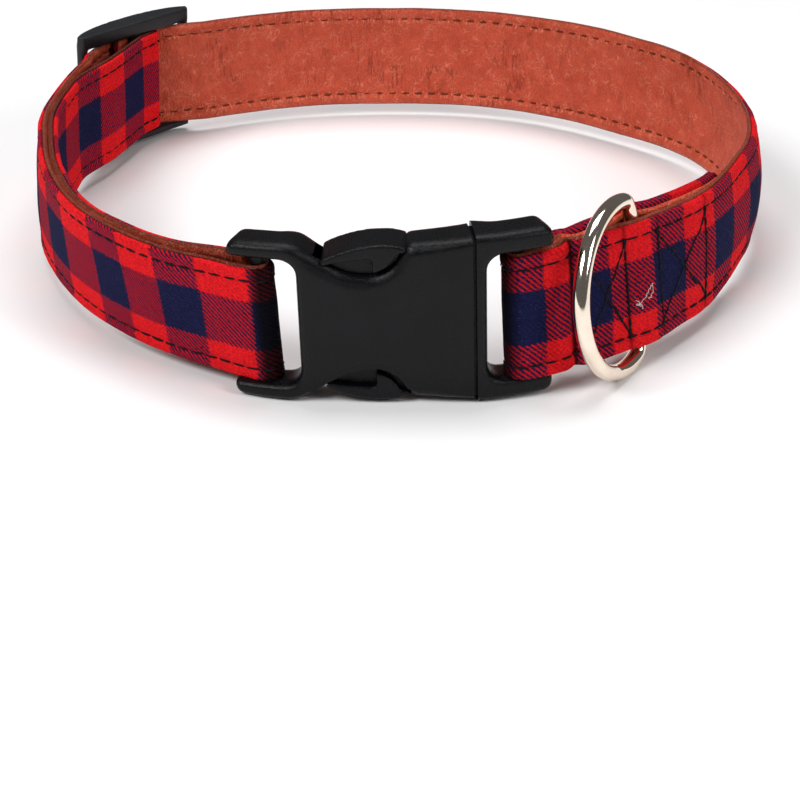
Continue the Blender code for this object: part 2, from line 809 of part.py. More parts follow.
def d_ring():
    path = ring_path()
    curve = bpy.data.curves.new("ring_wire", "CURVE")
    curve.dimensions = "3D"
    curve.bevel_depth = RING_WIRE / 2
    curve.bevel_resolution = 3
    spline = curve.splines.new("POLY")
    spline.points.add(len(path) - 1)
    point, up = ring_axis()
    way = ring_bow_way(up)
    for place, (out, height) in zip(spline.points, path):
        place.co = (*(out * way + height * up), 1.0)
    spline.use_cyclic_u = True
    drawn = new_object("ring_curve", curve, collection("cutters", hidden=True))
    graph = bpy.context.evaluated_depsgraph_get()
    mesh = bpy.data.meshes.new_from_object(drawn.evaluated_get(graph))
    bpy.data.objects.remove(drawn, do_unlink=True)
    mesh.materials.clear()
    mesh.materials.append(finish("pale_gold"))
    mesh.shade_smooth()
    ring = new_object("d_ring", mesh, collection("dog_collar"))
    ring.location = point
    return ring


def centre_on_floor():
    """Moves the whole collar so that its box stands on the floor, centred on the origin."""
    bpy.context.view_layer.update()
    group = collection("dog_collar")
    points = [obj.matrix_world @ vert.co for obj in group.objects for vert in obj.data.vertices]
    low = Vector([min(p[axis] for p in points) for axis in range(3)])
    high = Vector([max(p[axis] for p in points) for axis in range(3)])
    shift = Vector((-(low.x + high.x) / 2, -(low.y + high.y) / 2, -low.z))
    for obj in group.objects:
        if obj.name == "d_ring":
            obj.location += shift
        else:
            obj.data.transform(Matrix.Translation(shift))


def main():
    clear_scene()
    collection("dog_collar")
    route = stations(eased(spaced(strap_route(), 0.8 * MM), 3), 13.0, 7 * MM)
    seam = SEAM_GAP / 2
    cloth = band("strap_cloth", route, seam, seam + CLOTH, "plaid_cloth")
    lining = band("strap_lining", route, -seam - LINING, -seam, "tan_leather")
    new_object("strap_cloth", cloth, collection("dog_collar"))
    new_object("strap_lining", lining, collection("dog_collar"))
    buckle_socket()
    buckle_prongs()
    slider()
    d_ring()
    centre_on_floor()


main()
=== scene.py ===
import math
from collections import namedtuple

import bmesh
import bpy
from mathutils import Matrix, Vector, noise


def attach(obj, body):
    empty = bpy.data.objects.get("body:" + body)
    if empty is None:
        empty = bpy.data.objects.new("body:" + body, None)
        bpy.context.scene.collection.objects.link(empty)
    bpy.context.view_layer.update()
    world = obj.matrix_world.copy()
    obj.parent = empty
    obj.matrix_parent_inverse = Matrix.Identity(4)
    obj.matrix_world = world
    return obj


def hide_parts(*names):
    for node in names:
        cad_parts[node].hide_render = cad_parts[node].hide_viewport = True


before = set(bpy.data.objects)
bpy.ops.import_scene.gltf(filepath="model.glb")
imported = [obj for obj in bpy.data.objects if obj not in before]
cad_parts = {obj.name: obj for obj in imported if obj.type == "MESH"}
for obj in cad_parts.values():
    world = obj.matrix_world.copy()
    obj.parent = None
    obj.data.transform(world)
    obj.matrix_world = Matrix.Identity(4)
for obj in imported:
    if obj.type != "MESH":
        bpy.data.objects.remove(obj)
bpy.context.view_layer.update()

MM = 0.001

# Where the loop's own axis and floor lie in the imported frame
SHIFT = Vector((-1.724, 1.581, -0.994)) * MM

# Strap
STRAP_WIDTH = 25.5 * MM
CLOTH = 0.80 * MM
LEATHER = 0.85 * MM
CLOTH_BACK = 0.35 * MM
LAYER_GAP = 0.55 * MM
TIGHT = 0.12 * MM
LOOP_RADIUS = 76.5 * MM
INNER_END_ANGLE = 67.0
INNER_END_ROUND = 5.0 * MM
TAB_LENGTH = 5.0 * MM
STITCH_IN = 3.0 * MM
STITCH_PITCH = 3.3 * MM
LEATHER_STITCH_IN = 2.8 * MM
LEATHER_STITCH_PITCH = 3.3 * MM
STATION_STEP = 0.6 * MM

# Buckle
BUCKLE_HALF = 31.0 * MM
BUCKLE_HEIGHT = 34.0 * MM
SOCKET_END_HEIGHT = 32.8 * MM
MOUTH_HEIGHT = 31.4 * MM
BUCKLE_DEPTH = 9.2 * MM
BUCKLE_WALL = 1.7 * MM
BUCKLE_SIDE = 3.0 * MM
BUCKLE_REACH = 72.3 * MM
BUCKLE_FLAT = 10.0 * MM
BUCKLE_BEND = 48.0 * MM
BUCKLE_ROLL = 1.6
BUCKLE_LIFT = 1.0 * MM
SOCKET_SLOT = 16.7 * MM
PRONG_SLOT = 17.9 * MM
SLOT_CORNER = 3.0 * MM
RAIL_END = 30.0 * MM
SOCKET_RAIL_END = 29.2 * MM
RAIL_CORNER = 2.1 * MM
RAIL_EDGE = 0.8 * MM
CUT_SPARE = 6.0 * MM
RIM_ROUND = 2.3 * MM
RIM_STEPS = 6
PASSES = 14
GRID = 0.30 * MM
RAIL_THINNING = 0.36
BAR_WIDTH = 2.8 * MM
BAR_LEFT = 23.7 * MM
BAR_RIGHT = 24.1 * MM
BAR_OUT = 1.0 * MM
BAR_LEAN = 0.09
SOCKET_SPREAD = 0.2 * MM
PRONG_SPREAD = 0.3 * MM
SEAM = 15.2 * MM
SEAM_WIDTH = 0.6 * MM
NOTCH_START = -19.0 * MM
NOTCH_END = 4.2 * MM
NOTCH_DEPTH = 6.1 * MM
BUTTON_START = -12.2 * MM
BUTTON_STEP = -2.8 * MM
BUTTON_HEIGHT = 16.1 * MM
BUTTON_IN = 0.8 * MM
# Where along the button it is highest, and how far it falls from there to the mouth and to its start
BUTTON_PEAK = 0.3
BUTTON_DROP_MOUTH = 10.0 * MM
BUTTON_DROP_START = 5.6 * MM
LIP_DROP = 1.7 * MM
LIP_GAP = 1.0 * MM
BUTTON_GAP = 0.4 * MM
TONGUE_START = -9.0 * MM
TONGUE_HALF = 2.2 * MM
TONGUE_CORNER = 1.0 * MM
SEAM_FLOOR_IN = 1.2 * MM
ARM_THICK = 6.6 * MM
FIT = 0.4 * MM

# Slider
SLIDER_LENGTH = 33.0 * MM
SLIDER_HEIGHT = 30.6 * MM
SLIDER_LIFT = 0.9 * MM
SLIDER_BAR = 2.6 * MM
SLIDER_DEPTH = 3.2 * MM
SLIDER_BULGE = 2.5 * MM
SLIDER_TAPER = 0.85
SLIDER_CHAMFER = 0.8 * MM
SLIDER_ANGLE = 230.2
SLIDER_OUT = 1.9 * MM
FOLD_SLACK = 4.4 * MM
FOLD_TIP = 1.2 * MM
SLIDER_SPARE = 0.8 * MM

# D-ring. RING_IN is how far its bar lies inside the strap's outer face.
RING_RADIUS = 16.5 * MM
RING_HALF_BAR = 15.0 * MM
RING_WIRE = 3.3 * MM
RING_CORNER = 1.8 * MM
RING_ANGLE = 40.3
RING_SWING = 19.0
RING_LIFT = 0.5 * MM
RING_IN = 3.15 * MM
POCKET_SPREAD = 6.0
RING_SIDES = 28

# Where seams and a crease pull the strap in, as angles round the loop, and how the inner layers lie
SEAM_ANGLES = (36.5, 43.2, 55.0)
SEAM_DENT = 0.35 * MM
SEAM_SPREAD = 0.9
CREASE_ANGLE = 26.9
CREASE_SPREAD = 1.5
CREASE_DEPTH = 1.7 * MM
INNER_SPREAD = 1.0 * MM
INNER_CLOSING = (46, 64)
LEFT_SPREAD = 0.9 * MM
LEFT_LOOSE = 1.2 * MM
INNER_RAISE = 1.0 * MM
ROUTE_STEP = 0.75
LEATHER_SHORT = 1.3 * MM
HEM_GROOVE = 0.35 * MM
EDGE_WAVE = 9.0 * MM
EDGE_DRIFT = 0.16 * MM

# Box stitches: the angles where each box starts and ends, and half its height
BOX_ANGLES = ((28.4, 36.5), (43.2, 55.0))
BOX_HALF = 9.0 * MM

# Plaid, in millimetres: one repeat along the strap, the dark share of it, half the dark row, the twill lines
CHECK = 21.3
DARK_SHARE = 0.48
ROW_HALF = 5.4
TWILL_PITCH = 1.08
PLAID_ANCHOR = 33.6

# Colours
RED = (0.84, 0.010, 0.016, 1.0)
RED_SPECK = (0.95, 0.10, 0.09, 1.0)
NAVY = (0.008, 0.009, 0.050, 1.0)
NAVY_SPECK = (0.050, 0.075, 0.25, 1.0)
TAN_DARK = (0.55, 0.068, 0.026, 1.0)
TAN = (0.65, 0.092, 0.040, 1.0)
# Painted highlight on the leather's pebble ridges and stitch puckers
TAN_GLINT = (0.86, 0.26, 0.15, 1.0)
# Painted shade in the leather's wrinkle creases
TAN_CREASE_SHADE = (0.40, 0.052, 0.022, 1.0)
TAN_RIM = (0.17, 0.030, 0.014, 1.0)
GOLD_DEEP = (0.86, 0.74, 0.60, 1.0)
GOLD_PALE = (0.93, 0.82, 0.70, 1.0)
FLOOR_DARK = (0.93, 0.93, 0.935, 1.0)
FLOOR_PALE = (0.94, 0.94, 0.945, 1.0)

# Studio
FLOOR_SIZE = 12.0
LIGHT_AIM = Vector((0, 0, 0.02))

PLY = CLOTH + LEATHER
LAYER_STEP = PLY + LAYER_GAP
MIDDLE_HEIGHT = BUCKLE_HEIGHT / 2
SLOT_HALF = 12.9 * MM
ROLL = math.sin(math.radians(BUCKLE_ROLL))
BAR_TURN = BAR_WIDTH / 2 + TIGHT + PLY / 2
BAR_STEP = 2 * BAR_TURN - LAYER_STEP
SLIDER_TURN = SLIDER_BAR / 2 + TIGHT + PLY / 2
SLIDER_PITCH = (SLIDER_LENGTH - SLIDER_BAR) / 2
RING_TURN = RING_WIRE / 2 + TIGHT + PLY / 2
POCKET_OUT = PLY / 2 - RING_IN + RING_TURN
POCKET_IN = max(0.0, 2 * RING_TURN - LAYER_STEP - POCKET_OUT - 1.0 * MM)

# Each row: the angle round the loop, the outer face's reach, lean and bulge, and the share of the buckle's roll
Section = namedtuple("Section", "angle reach lean bulge roll")
SECTIONS = [
    Section(*row)
    for row in (
        (27, 1.014, -0.135, 0.000, 0.95),
        (34, 1.005, -0.150, 0.000, 0.82),
        (41, 1.007, -0.160, 0.000, 0.62),
        (48, 1.004, -0.105, 0.000, 0.40),
        (55, 1.006, -0.088, 0.020, 0.22),
        (63, 1.001, -0.056, 0.040, 0.08),
        (71, 1.002, -0.045, 0.060, 0.00),
        (80, 1.020, -0.036, 0.080, 0.00),
        (90, 1.033, -0.040, 0.085, 0.00),
        (101, 1.040, -0.045, 0.080, 0.00),
        (113, 1.050, -0.070, 0.060, 0.00),
        (122, 1.044, -0.040, 0.040, 0.00),
        (132, 1.019, -0.005, 0.020, 0.00),
        (142, 1.004, -0.005, 0.010, 0.00),
        (153, 0.990, -0.030, 0.000, 0.00),
        (164, 0.977, -0.045, 0.000, 0.00),
        (180, 0.965, -0.036, 0.000, 0.00),
        (200, 0.986, -0.028, 0.000, 0.00),
        (213, 1.017, -0.025, 0.000, 0.00),
        (221, 1.038, -0.060, 0.000, 0.00),
        (240, 1.066, -0.060, 0.000, 0.00),
        (250, 1.036, -0.060, 0.010, 0.00),
        (258, 1.012, -0.042, 0.020, 0.00),
        (269, 1.003, -0.042, 0.030, 0.00),
        (280, 0.995, -0.055, 0.030, 0.00),
        (294, 0.997, 0.030, 0.015, 0.03),
        (306, 1.006, 0.100, 0.005, 0.22),
        (316, 1.008, 0.130, 0.000, 0.45),
        (327, 1.009, 0.145, 0.000, 0.84),
        (334, 1.010, 0.125, 0.000, 0.95),
    )
]


# ---- Route of the strap ----


def hermite(before, start, end, after, share):
    """The height of a smooth curve through four (place, height) points, between the middle two."""
    span = end[0] - start[0]
    slope_start = (end[1] - before[1]) / (end[0] - before[0]) * span
    slope_end = (after[1] - start[1]) / (after[0] - start[0]) * span
    square = share * share
    cube = square * share
    return (
        (2 * cube - 3 * square + 1) * start[1]
        + (cube - 2 * square + share) * slope_start
        + (3 * square - 2 * cube) * end[1]
        + (cube - square) * slope_end
    )


def from_table(rows, angle):
    """The value of a table that runs once round the loop."""
    angle = angle % 360
    count = len(rows)
    index = sum(row[0] <= angle for row in rows) - 1

    def row(step):
        turn, place = divmod(index + step, count)
        return rows[place][0] + 360 * turn, rows[place][1]

    start = row(0)
    end = row(1)
    return hermite(row(-1), start, end, row(2), (angle - start[0]) / (end[0] - start[0]))


def linear(rows, place):
    place = min(rows[-1][0], max(rows[0][0], place))
    for (start, low), (end, high) in zip(rows, rows[1:]):
        if place <= end:
            return low + (high - low) * (place - start) / (end - start)
    return rows[-1][1]


def direction(angle):
    return Vector((math.sin(math.radians(angle)), -math.cos(math.radians(angle))))


def buckle_heading(place):
    return math.copysign(max(0.0, abs(place) - BUCKLE_FLAT) / BUCKLE_BEND, place)


def buckle_point(place, out=0.0):
    turn = abs(buckle_heading(place))
    along = min(abs(place), BUCKLE_FLAT) + BUCKLE_BEND * math.sin(turn)
    back = BUCKLE_BEND * (1 - math.cos(turn))
    middle = Vector((math.copysign(along, place), back - BUCKLE_REACH))
    return middle + out * direction(math.degrees(buckle_heading(place)))


def angle_of(point):
    return math.degrees(math.atan2(point.x, -point.y)) % 360


RIGHT_BAR = buckle_point(BAR_RIGHT, BAR_OUT)
LEFT_BAR = buckle_point(-BAR_LEFT, BAR_OUT)
RIGHT_ANGLE = angle_of(RIGHT_BAR)
LEFT_ANGLE = angle_of(LEFT_BAR)


def table(column, scale, right, left):
    rows = [(RIGHT_ANGLE, right)]
    rows += [(row.angle, getattr(row, column) * scale) for row in SECTIONS]
    return rows + [(LEFT_ANGLE, left)]


REACHES = table(
    "reach",
    LOOP_RADIUS,
    RIGHT_BAR.length + BAR_TURN + PLY / 2,
    LEFT_BAR.length + BAR_TURN + PLY / 2,
)
LEANS = table("lean", 1.0, -BAR_LEAN, BAR_LEAN)
BULGES = table("bulge", STRAP_WIDTH, 0.0, 0.0)
ROLLS = table("roll", ROLL, ROLL, ROLL)


def upright(point):
    angle = angle_of(point)
    return from_table(LEANS, angle) * point.normalized() - Vector((from_table(ROLLS, angle), 0.0))


def middle_height(point):
    return MIDDLE_HEIGHT + from_table(ROLLS, angle_of(point)) * point.x


def swell(angle, middle, spread):
    away = abs(angle - middle)
    return 0.5 + 0.5 * math.cos(math.pi * away / spread) if away < spread else 0.0


def ramp(angle, start, end):
    share = min(1.0, max(0.0, (angle - start) / (end - start)))
    return share * share * (3 - 2 * share)


def outer_layer(angle):
    out = from_table(REACHES, angle) - PLY / 2
    out -= CREASE_DEPTH * swell(angle, CREASE_ANGLE, CREASE_SPREAD)
    for seam in SEAM_ANGLES:
        out -= SEAM_DENT * swell(angle, seam, SEAM_SPREAD)
    return (out + POCKET_OUT * swell(angle, RING_ANGLE, POCKET_SPREAD)) * direction(angle)


def inner_right(angle):
    step = LAYER_STEP + BAR_STEP * (1 - ramp(angle, RIGHT_ANGLE, RIGHT_ANGLE + 6))
    step += INNER_SPREAD * ramp(angle, RIGHT_ANGLE + 2, RIGHT_ANGLE + 10) * (1 - ramp(angle, *INNER_CLOSING))
    out = from_table(REACHES, angle) - PLY / 2 - step
    out -= CREASE_DEPTH * swell(angle, CREASE_ANGLE, CREASE_SPREAD)
    return (out - POCKET_IN * swell(angle, RING_ANGLE, POCKET_SPREAD)) * direction(angle)


def inner_left(angle):
    step = LAYER_STEP + BAR_STEP * ramp(angle, LEFT_ANGLE - 22, LEFT_ANGLE - 2)
    step += (LAYER_STEP + LEFT_LOOSE) * (1 - ramp(angle, SLIDER_ANGLE + 11, SLIDER_ANGLE + 24))
    spread = ramp(angle, LEFT_ANGLE - 34, LEFT_ANGLE - 20)
    step += LEFT_SPREAD * spread * (1 - ramp(angle, LEFT_ANGLE - 4, LEFT_ANGLE))
    return (from_table(REACHES, angle) - PLY / 2 - step) * direction(angle)


def slider_frame():
    before = outer_layer(SLIDER_ANGLE - 8)
    after = outer_layer(SLIDER_ANGLE + 8)
    along = (after - before).normalized()
    out = Vector((along.y, -along.x))
    return (before + after) / 2 + out * (SLIDER_OUT + PLY / 2), along, out


def arc(centre, radius, start, sweep, along, out):
    steps = max(2, round(abs(sweep) / 12))
    points = []
    for index in range(steps + 1):
        turn = math.radians(start + sweep * index / steps)
        points.append(centre + radius * (math.cos(turn) * out + math.sin(turn) * along))
    return points


def along_layer(layer, start, end):
    """Plan points of a layer at even angles, from one angle towards another."""
    step = math.copysign(ROUTE_STEP, end - start)
    count = math.ceil(abs(end - start) / ROUTE_STEP)
    return [layer(start + step * index) for index in range(count)]


def strap_route():
    """Plan points along the middle of the strap, from its inner end to the tab sewn round the slider's bar."""
    right = RIGHT_ANGLE + 1.5
    left = LEFT_ANGLE - 1.5
    route = along_layer(inner_right, INNER_END_ANGLE, right)
    route += arc(RIGHT_BAR, BAR_TURN, 180, 180, direction(RIGHT_ANGLE + 90), direction(RIGHT_ANGLE))

    middle, along, out = slider_frame()
    over = SLIDER_TURN + LAYER_STEP + SLIDER_SPARE
    slope = math.degrees(math.asin((over + SLIDER_TURN) / SLIDER_PITCH))
    reach = math.degrees((SLIDER_PITCH + 2 * MM) / LOOP_RADIUS)
    route += along_layer(outer_layer, right, SLIDER_ANGLE - reach)
    first = middle - along * SLIDER_PITCH
    last = middle + along * SLIDER_PITCH
    route += arc(first, SLIDER_TURN, 180, -slope, along, out)
    route += arc(middle, over, -slope, 2 * slope, along, out)
    route += arc(last, SLIDER_TURN, 180 + slope, -slope, along, out)
    route += along_layer(outer_layer, SLIDER_ANGLE + reach, left)
    route += arc(LEFT_BAR, BAR_TURN, 0, 180, direction(LEFT_ANGLE + 90), direction(LEFT_ANGLE))
    route += along_layer(inner_left, left, SLIDER_ANGLE + reach - 2)

    to_bar = middle - route[-1]
    swing = math.asin(SLIDER_TURN / to_bar.length)
    heading = math.atan2(to_bar.dot(out), -to_bar.dot(along)) - swing
    start = 180 + math.degrees(heading)
    tip_step = SLIDER_TURN + FOLD_SLACK - FOLD_TIP
    taper = math.degrees(math.asin((SLIDER_TURN - FOLD_TIP) / tip_step))
    tip = middle - along * tip_step
    route += arc(middle, SLIDER_TURN, start, 180 + taper - start, along, out)
    route += arc(tip, FOLD_TIP, 180 + taper, 180 - 2 * taper, along, out)
    route += arc(middle, SLIDER_TURN, 360 - taper, taper + slope, along, out)
    tab = along * math.cos(math.radians(slope)) - out * math.sin(math.radians(slope))
    route.append(route[-1] + tab * TAB_LENGTH)
    return route


def spaced(points, step):
    done = [points[0]]
    left = step
    for start, end in zip(points, points[1:]):
        length = (end - start).length
        place = left
        while place < length:
            done.append(start.lerp(end, place / length))
            place += step
        left = place - length
    done.append(points[-1])
    return done


def eased(points, passes):
    for _ in range(passes):
        middle = [
            (before + 2 * here + after) / 4
            for before, here, after in zip(points, points[1:], points[2:])
        ]
        points = [points[0], *middle, points[-1]]
    return points


Station = namedtuple("Station", "point right rise bulge middle gone")


def strap_stations():
    route = eased(spaced(strap_route(), STATION_STEP), 4)
    made = []
    gone = 0.0
    for index, point in enumerate(route):
        before = route[max(0, index - 1)]
        after = route[min(len(route) - 1, index + 1)]
        along = (after - before).normalized()
        if index:
            gone += (point - before).length
        bulge = from_table(BULGES, angle_of(point)) * point.normalized()
        right = Vector((along.y, -along.x))
        made.append(Station(point, right, upright(point), bulge, middle_height(point), gone))
    return made


STATIONS = strap_stations()
LENGTH = STATIONS[-1].gone


def nearest_station(target):
    return min(range(len(STATIONS)), key=lambda index: (STATIONS[index].point - target).length)


def outer_index(angle):
    """The station of the outer layer at this angle from the front."""
    return nearest_station(outer_layer(angle))


def gone_at(angle):
    return STATIONS[outer_index(angle)].gone


# How far along the strap its two turns round the buckle's bars lie
RIGHT_GONE = STATIONS[nearest_station(RIGHT_BAR + direction(RIGHT_ANGLE - 90) * BAR_TURN)].gone
LEFT_GONE = STATIONS[nearest_station(LEFT_BAR + direction(LEFT_ANGLE + 90) * BAR_TURN)].gone


def half_width(gone):
    """Half the strap's width, rounded off at its inner free end."""
    rounded = min(1.0, (gone + 0.1 * INNER_END_ROUND) / INNER_END_ROUND)
    return STRAP_WIDTH / 2 - INNER_END_ROUND * (1 - math.sqrt(1 - (1 - rounded) ** 2))


def raise_at(gone):
    """The right inner layer stands a little higher than the outer one."""
    falling = ramp(gone, RIGHT_GONE - 24 * MM, RIGHT_GONE - 8 * MM)
    return INNER_RAISE * ramp(gone, -4 * MM, 24 * MM) * (1 - falling)


def strap_point(station, out, height):
    """A point on the strap: how far to the cloth's side of its middle, and its height over the middle line."""
    plan = station.point + out * station.right + height * station.rise
    plan += station.bulge * (1 - (2 * height / STRAP_WIDTH) ** 2)
    return Vector((plan.x, plan.y, station.middle + height + raise_at(station.gone))) + SHIFT


# ---- Shader helpers ----


class Nodes:
    """Adds nodes to a tree and joins them."""

    def __init__(self, tree):
        self.tree = tree

    def feed(self, socket, value):
        if isinstance(value, bpy.types.NodeSocket):
            self.tree.links.new(value, socket)
        else:
            socket.default_value = value

    def add(self, kind, values=None, **settings):
        node = self.tree.nodes.new(kind)
        for key, value in settings.items():
            setattr(node, key, value)
        for socket, value in (values or {}).items():
            self.feed(node.inputs[socket], value)
        return node

    def math(self, operation, first, second=0.0, third=0.0, clamp=False):
        values = {0: first, 1: second, 2: third}
        return self.add("ShaderNodeMath", values, operation=operation, use_clamp=clamp).outputs[0]

    def mix(self, share, first, second, blend="MIX"):
        values = {0: share, 6: first, 7: second}
        return self.add("ShaderNodeMix", values, data_type="RGBA", blend_type=blend).outputs[2]

    def spread(self, value, low, high, to_low=0.0, to_high=1.0):
        values = {0: value, 1: low, 2: high, 3: to_low, 4: to_high}
        return self.add("ShaderNodeMapRange", values, interpolation_type="SMOOTHSTEP").outputs[0]

    def scaled(self, vector, factors):
        node = self.add("ShaderNodeVectorMath", {0: vector, 1: factors}, operation="MULTIPLY")
        return node.outputs[0]

    def noise(self, vector, size, detail=2.0, roughness=0.5, distortion=0.0):
        values = {"Vector": vector, "Scale": 1.0 / size, "Detail": detail, "Roughness": roughness}
        values["Distortion"] = distortion
        return self.add("ShaderNodeTexNoise", values).outputs[0]

    def group(self, tree, values):
        node = self.add("ShaderNodeGroup")
        node.node_tree = tree
        for socket, value in values.items():
            self.feed(node.inputs[socket], value)
        return node

    def times(self, first, second):
        return self.math("MULTIPLY", first, second)

    def less(self, first, second):
        return self.math("SUBTRACT", first, second)

    def fused(self, value, factor, extra, clamp=False):
        """value * factor + extra"""
        return self.math("MULTIPLY_ADD", value, factor, extra, clamp)

    def swing(self, value, factor, extra):
        """A mask that runs from 0 to 1, centred on 0, times a factor, plus extra."""
        return self.fused(self.less(value, 0.5), factor, extra)

    def strap_place(self):
        """Millimetres along and across the strap, and the side, scaled down where shade is painted on the cloth or
        the leather.
        """
        place = self.add("ShaderNodeAttribute", attribute_name="place").outputs["Vector"]
        return place, self.add("ShaderNodeSeparateXYZ", {0: place}).outputs

    def own_place(self):
        """The piece's own coordinates, in millimetres."""
        return self.scaled(self.add("ShaderNodeTexCoord").outputs["Object"], (1000.0, 1000.0, 1000.0))

    def grain(self, place, size, contrast):
        return self.group(GRAIN, {"Place": place, "Size": size, "Contrast": contrast}).outputs

    def dimmed(self, colour, factor):
        return self.add("ShaderNodeVectorMath", {0: colour, 3: factor}, operation="SCALE").outputs[0]


def new_group(name, inputs, outputs):
    tree = bpy.data.node_groups.new(name, "ShaderNodeTree")
    kinds = {"value": "NodeSocketFloat", "vector": "NodeSocketVector", "colour": "NodeSocketColor"}
    for label, kind, value in inputs:
        socket = tree.interface.new_socket(label, in_out="INPUT", socket_type=kinds[kind])
        if value is not None:
            socket.default_value = value
    for label, kind in outputs:
        tree.interface.new_socket(label, in_out="OUTPUT", socket_type=kinds[kind])
    nodes = Nodes(tree)
    return tree, nodes, nodes.add("NodeGroupInput"), nodes.add("NodeGroupOutput")


def new_material(name):
    material = bpy.data.materials.new(name)
    material.use_nodes = True
    nodes = Nodes(material.node_tree)
    shader = material.node_tree.nodes["Principled BSDF"]
    return material, nodes, shader


def bump(nodes, height, strength, distance):
    values = {"Height": height, "Strength": strength, "Distance": distance}
    return nodes.add("ShaderNodeBump", values).outputs[0]


def dressed(material, nodes, shader, colour, roughness, specular=None, normal=None):
    """Joins the colour, the roughness and the relief to the material's shader."""
    nodes.feed(shader.inputs["Base Color"], colour)
    nodes.feed(shader.inputs["Roughness"], roughness)
    if specular is not None:
        shader.inputs["Specular IOR Level"].default_value = specular
    if normal is not None:
        nodes.feed(shader.inputs["Normal"], normal)
    return material


def grain_group():
    """Fine speckle over a surface, as a mask and as a height, from a place in millimetres."""
    inputs = [("Place", "vector", None), ("Size", "value", 0.2), ("Contrast", "value", 1.0)]
    tree, nodes, start, end = new_group("fine_grain", inputs, [("Mask", "value"), ("Height", "value")])
    scale = nodes.math("DIVIDE", 1.0, start.outputs["Size"])
    fine = nodes.add("ShaderNodeTexNoise", {"Vector": start.outputs["Place"], "Scale": scale, "Detail": 3.0})
    height = nodes.spread(fine.outputs[0], 0.3, 0.7)
    centred = nodes.less(height, 0.5)
    mask = nodes.fused(centred, start.outputs["Contrast"], 0.5, clamp=True)
    nodes.feed(end.inputs["Mask"], mask)
    nodes.feed(end.inputs["Height"], height)
    return tree


def twill_group():
    """Slanting lines of a twill weave from the place along and across the strap, in millimetres."""
    inputs = [("Place", "vector", None), ("Pitch", "value", 0.85), ("Way", "value", 1.0)]
    tree, nodes, start, end = new_group("twill", inputs, [("Lines", "value"), ("Threads", "value")])
    parts = nodes.add("ShaderNodeSeparateXYZ", {0: start.outputs["Place"]})
    wobble = nodes.noise(start.outputs["Place"], 0.9, 1.0)
    slant = nodes.fused(parts.outputs[1], start.outputs["Way"], parts.outputs[0])
    slant = nodes.fused(wobble, 0.22, slant)
    phase = nodes.math("DIVIDE", slant, start.outputs["Pitch"])
    wave = nodes.math("SINE", nodes.times(phase, 2 * math.pi))
    lines = nodes.fused(wave, 0.5, 0.5)
    cross = nodes.math("DIVIDE", parts.outputs[1], nodes.times(start.outputs["Pitch"], 0.34))
    threads = nodes.math("SINE", nodes.times(cross, 2 * math.pi))
    nodes.feed(end.inputs["Lines"], lines)
    nodes.feed(end.inputs["Threads"], nodes.fused(threads, 0.5, 0.5))
    return tree


GRAIN = grain_group()
TWILL = twill_group()


def plaid_cloth():
    material, nodes, shader = new_material("plaid_cloth")
    place, (along, across, shown) = nodes.strap_place()
    rough_edge = nodes.noise(nodes.scaled(place, (1.0, 2.4, 0.0)), 0.8, 2.0)
    rough_edge = nodes.less(rough_edge, 0.5)
    way = nodes.math("SIGN", shown)
    twill = nodes.group(TWILL, {"Place": place, "Pitch": TWILL_PITCH, "Way": way})
    lines = twill.outputs["Lines"]
    step_edge = nodes.swing(lines, 0.5, nodes.times(rough_edge, 0.9))
    turn = nodes.math("FRACT", nodes.math("DIVIDE", nodes.math("ADD", along, step_edge), CHECK))
    dark_column = nodes.math("GREATER_THAN", turn, 1 - DARK_SHARE)
    level = nodes.math("ABSOLUTE", nodes.math("ADD", across, step_edge))
    dark_row = nodes.math("LESS_THAN", level, ROW_HALF)
    both = nodes.times(dark_column, dark_row)
    either = nodes.math("MAXIMUM", dark_column, dark_row)
    mixed = nodes.less(either, both)
    fuzz = nodes.noise(nodes.scaled(place, (1.0, 1.0, 0.0)), 0.22, 3.0, 0.7)
    blots = nodes.noise(nodes.scaled(place, (1.0, 1.4, 0.0)), 0.72, 3.0, 0.65)
    broken = nodes.swing(twill.outputs["Threads"], 0.34, lines)
    broken = nodes.swing(blots, 3.2, broken)
    line_mask = nodes.spread(nodes.swing(fuzz, 1.3, broken), 0.28, 0.66)
    navy_share = nodes.math("ADD", both, nodes.times(mixed, line_mask), clamp=True)
    thread = nodes.times(nodes.less(lines, 0.5), 0.10)
    patchy = nodes.noise(place, 3.0, 3.0)
    tone = nodes.math("ADD", nodes.fused(fuzz, 0.5, 0.72), thread)
    tone = nodes.swing(patchy, 0.25, tone)
    tone = nodes.times(tone, nodes.fused(mixed, -0.22, 1.0))
    tone = nodes.times(tone, nodes.spread(blots, 0.25, 0.75, 0.68, 1.28))
    # Painted shade at the inner end, the bars, the crease and the seams, from the place's third value
    tone = nodes.times(tone, nodes.math("ABSOLUTE", shown))
    speck = nodes.spread(nodes.noise(place, 0.34, 2.0, 0.7), 0.56, 0.74)
    red = nodes.mix(nodes.times(speck, 0.20), RED, RED_SPECK)
    navy = nodes.mix(nodes.times(speck, 0.55), NAVY, NAVY_SPECK)
    colour = nodes.mix(navy_share, red, navy)
    height = nodes.fused(twill.outputs["Threads"], 0.25, lines)
    height = nodes.fused(fuzz, 1.2, height)
    relief = bump(nodes, height, 0.8, 0.00022)
    rough = nodes.spread(fuzz, 0.0, 1.0, 0.86, 0.98)
    return dressed(material, nodes, shader, nodes.dimmed(colour, tone), rough, 0.10, relief)


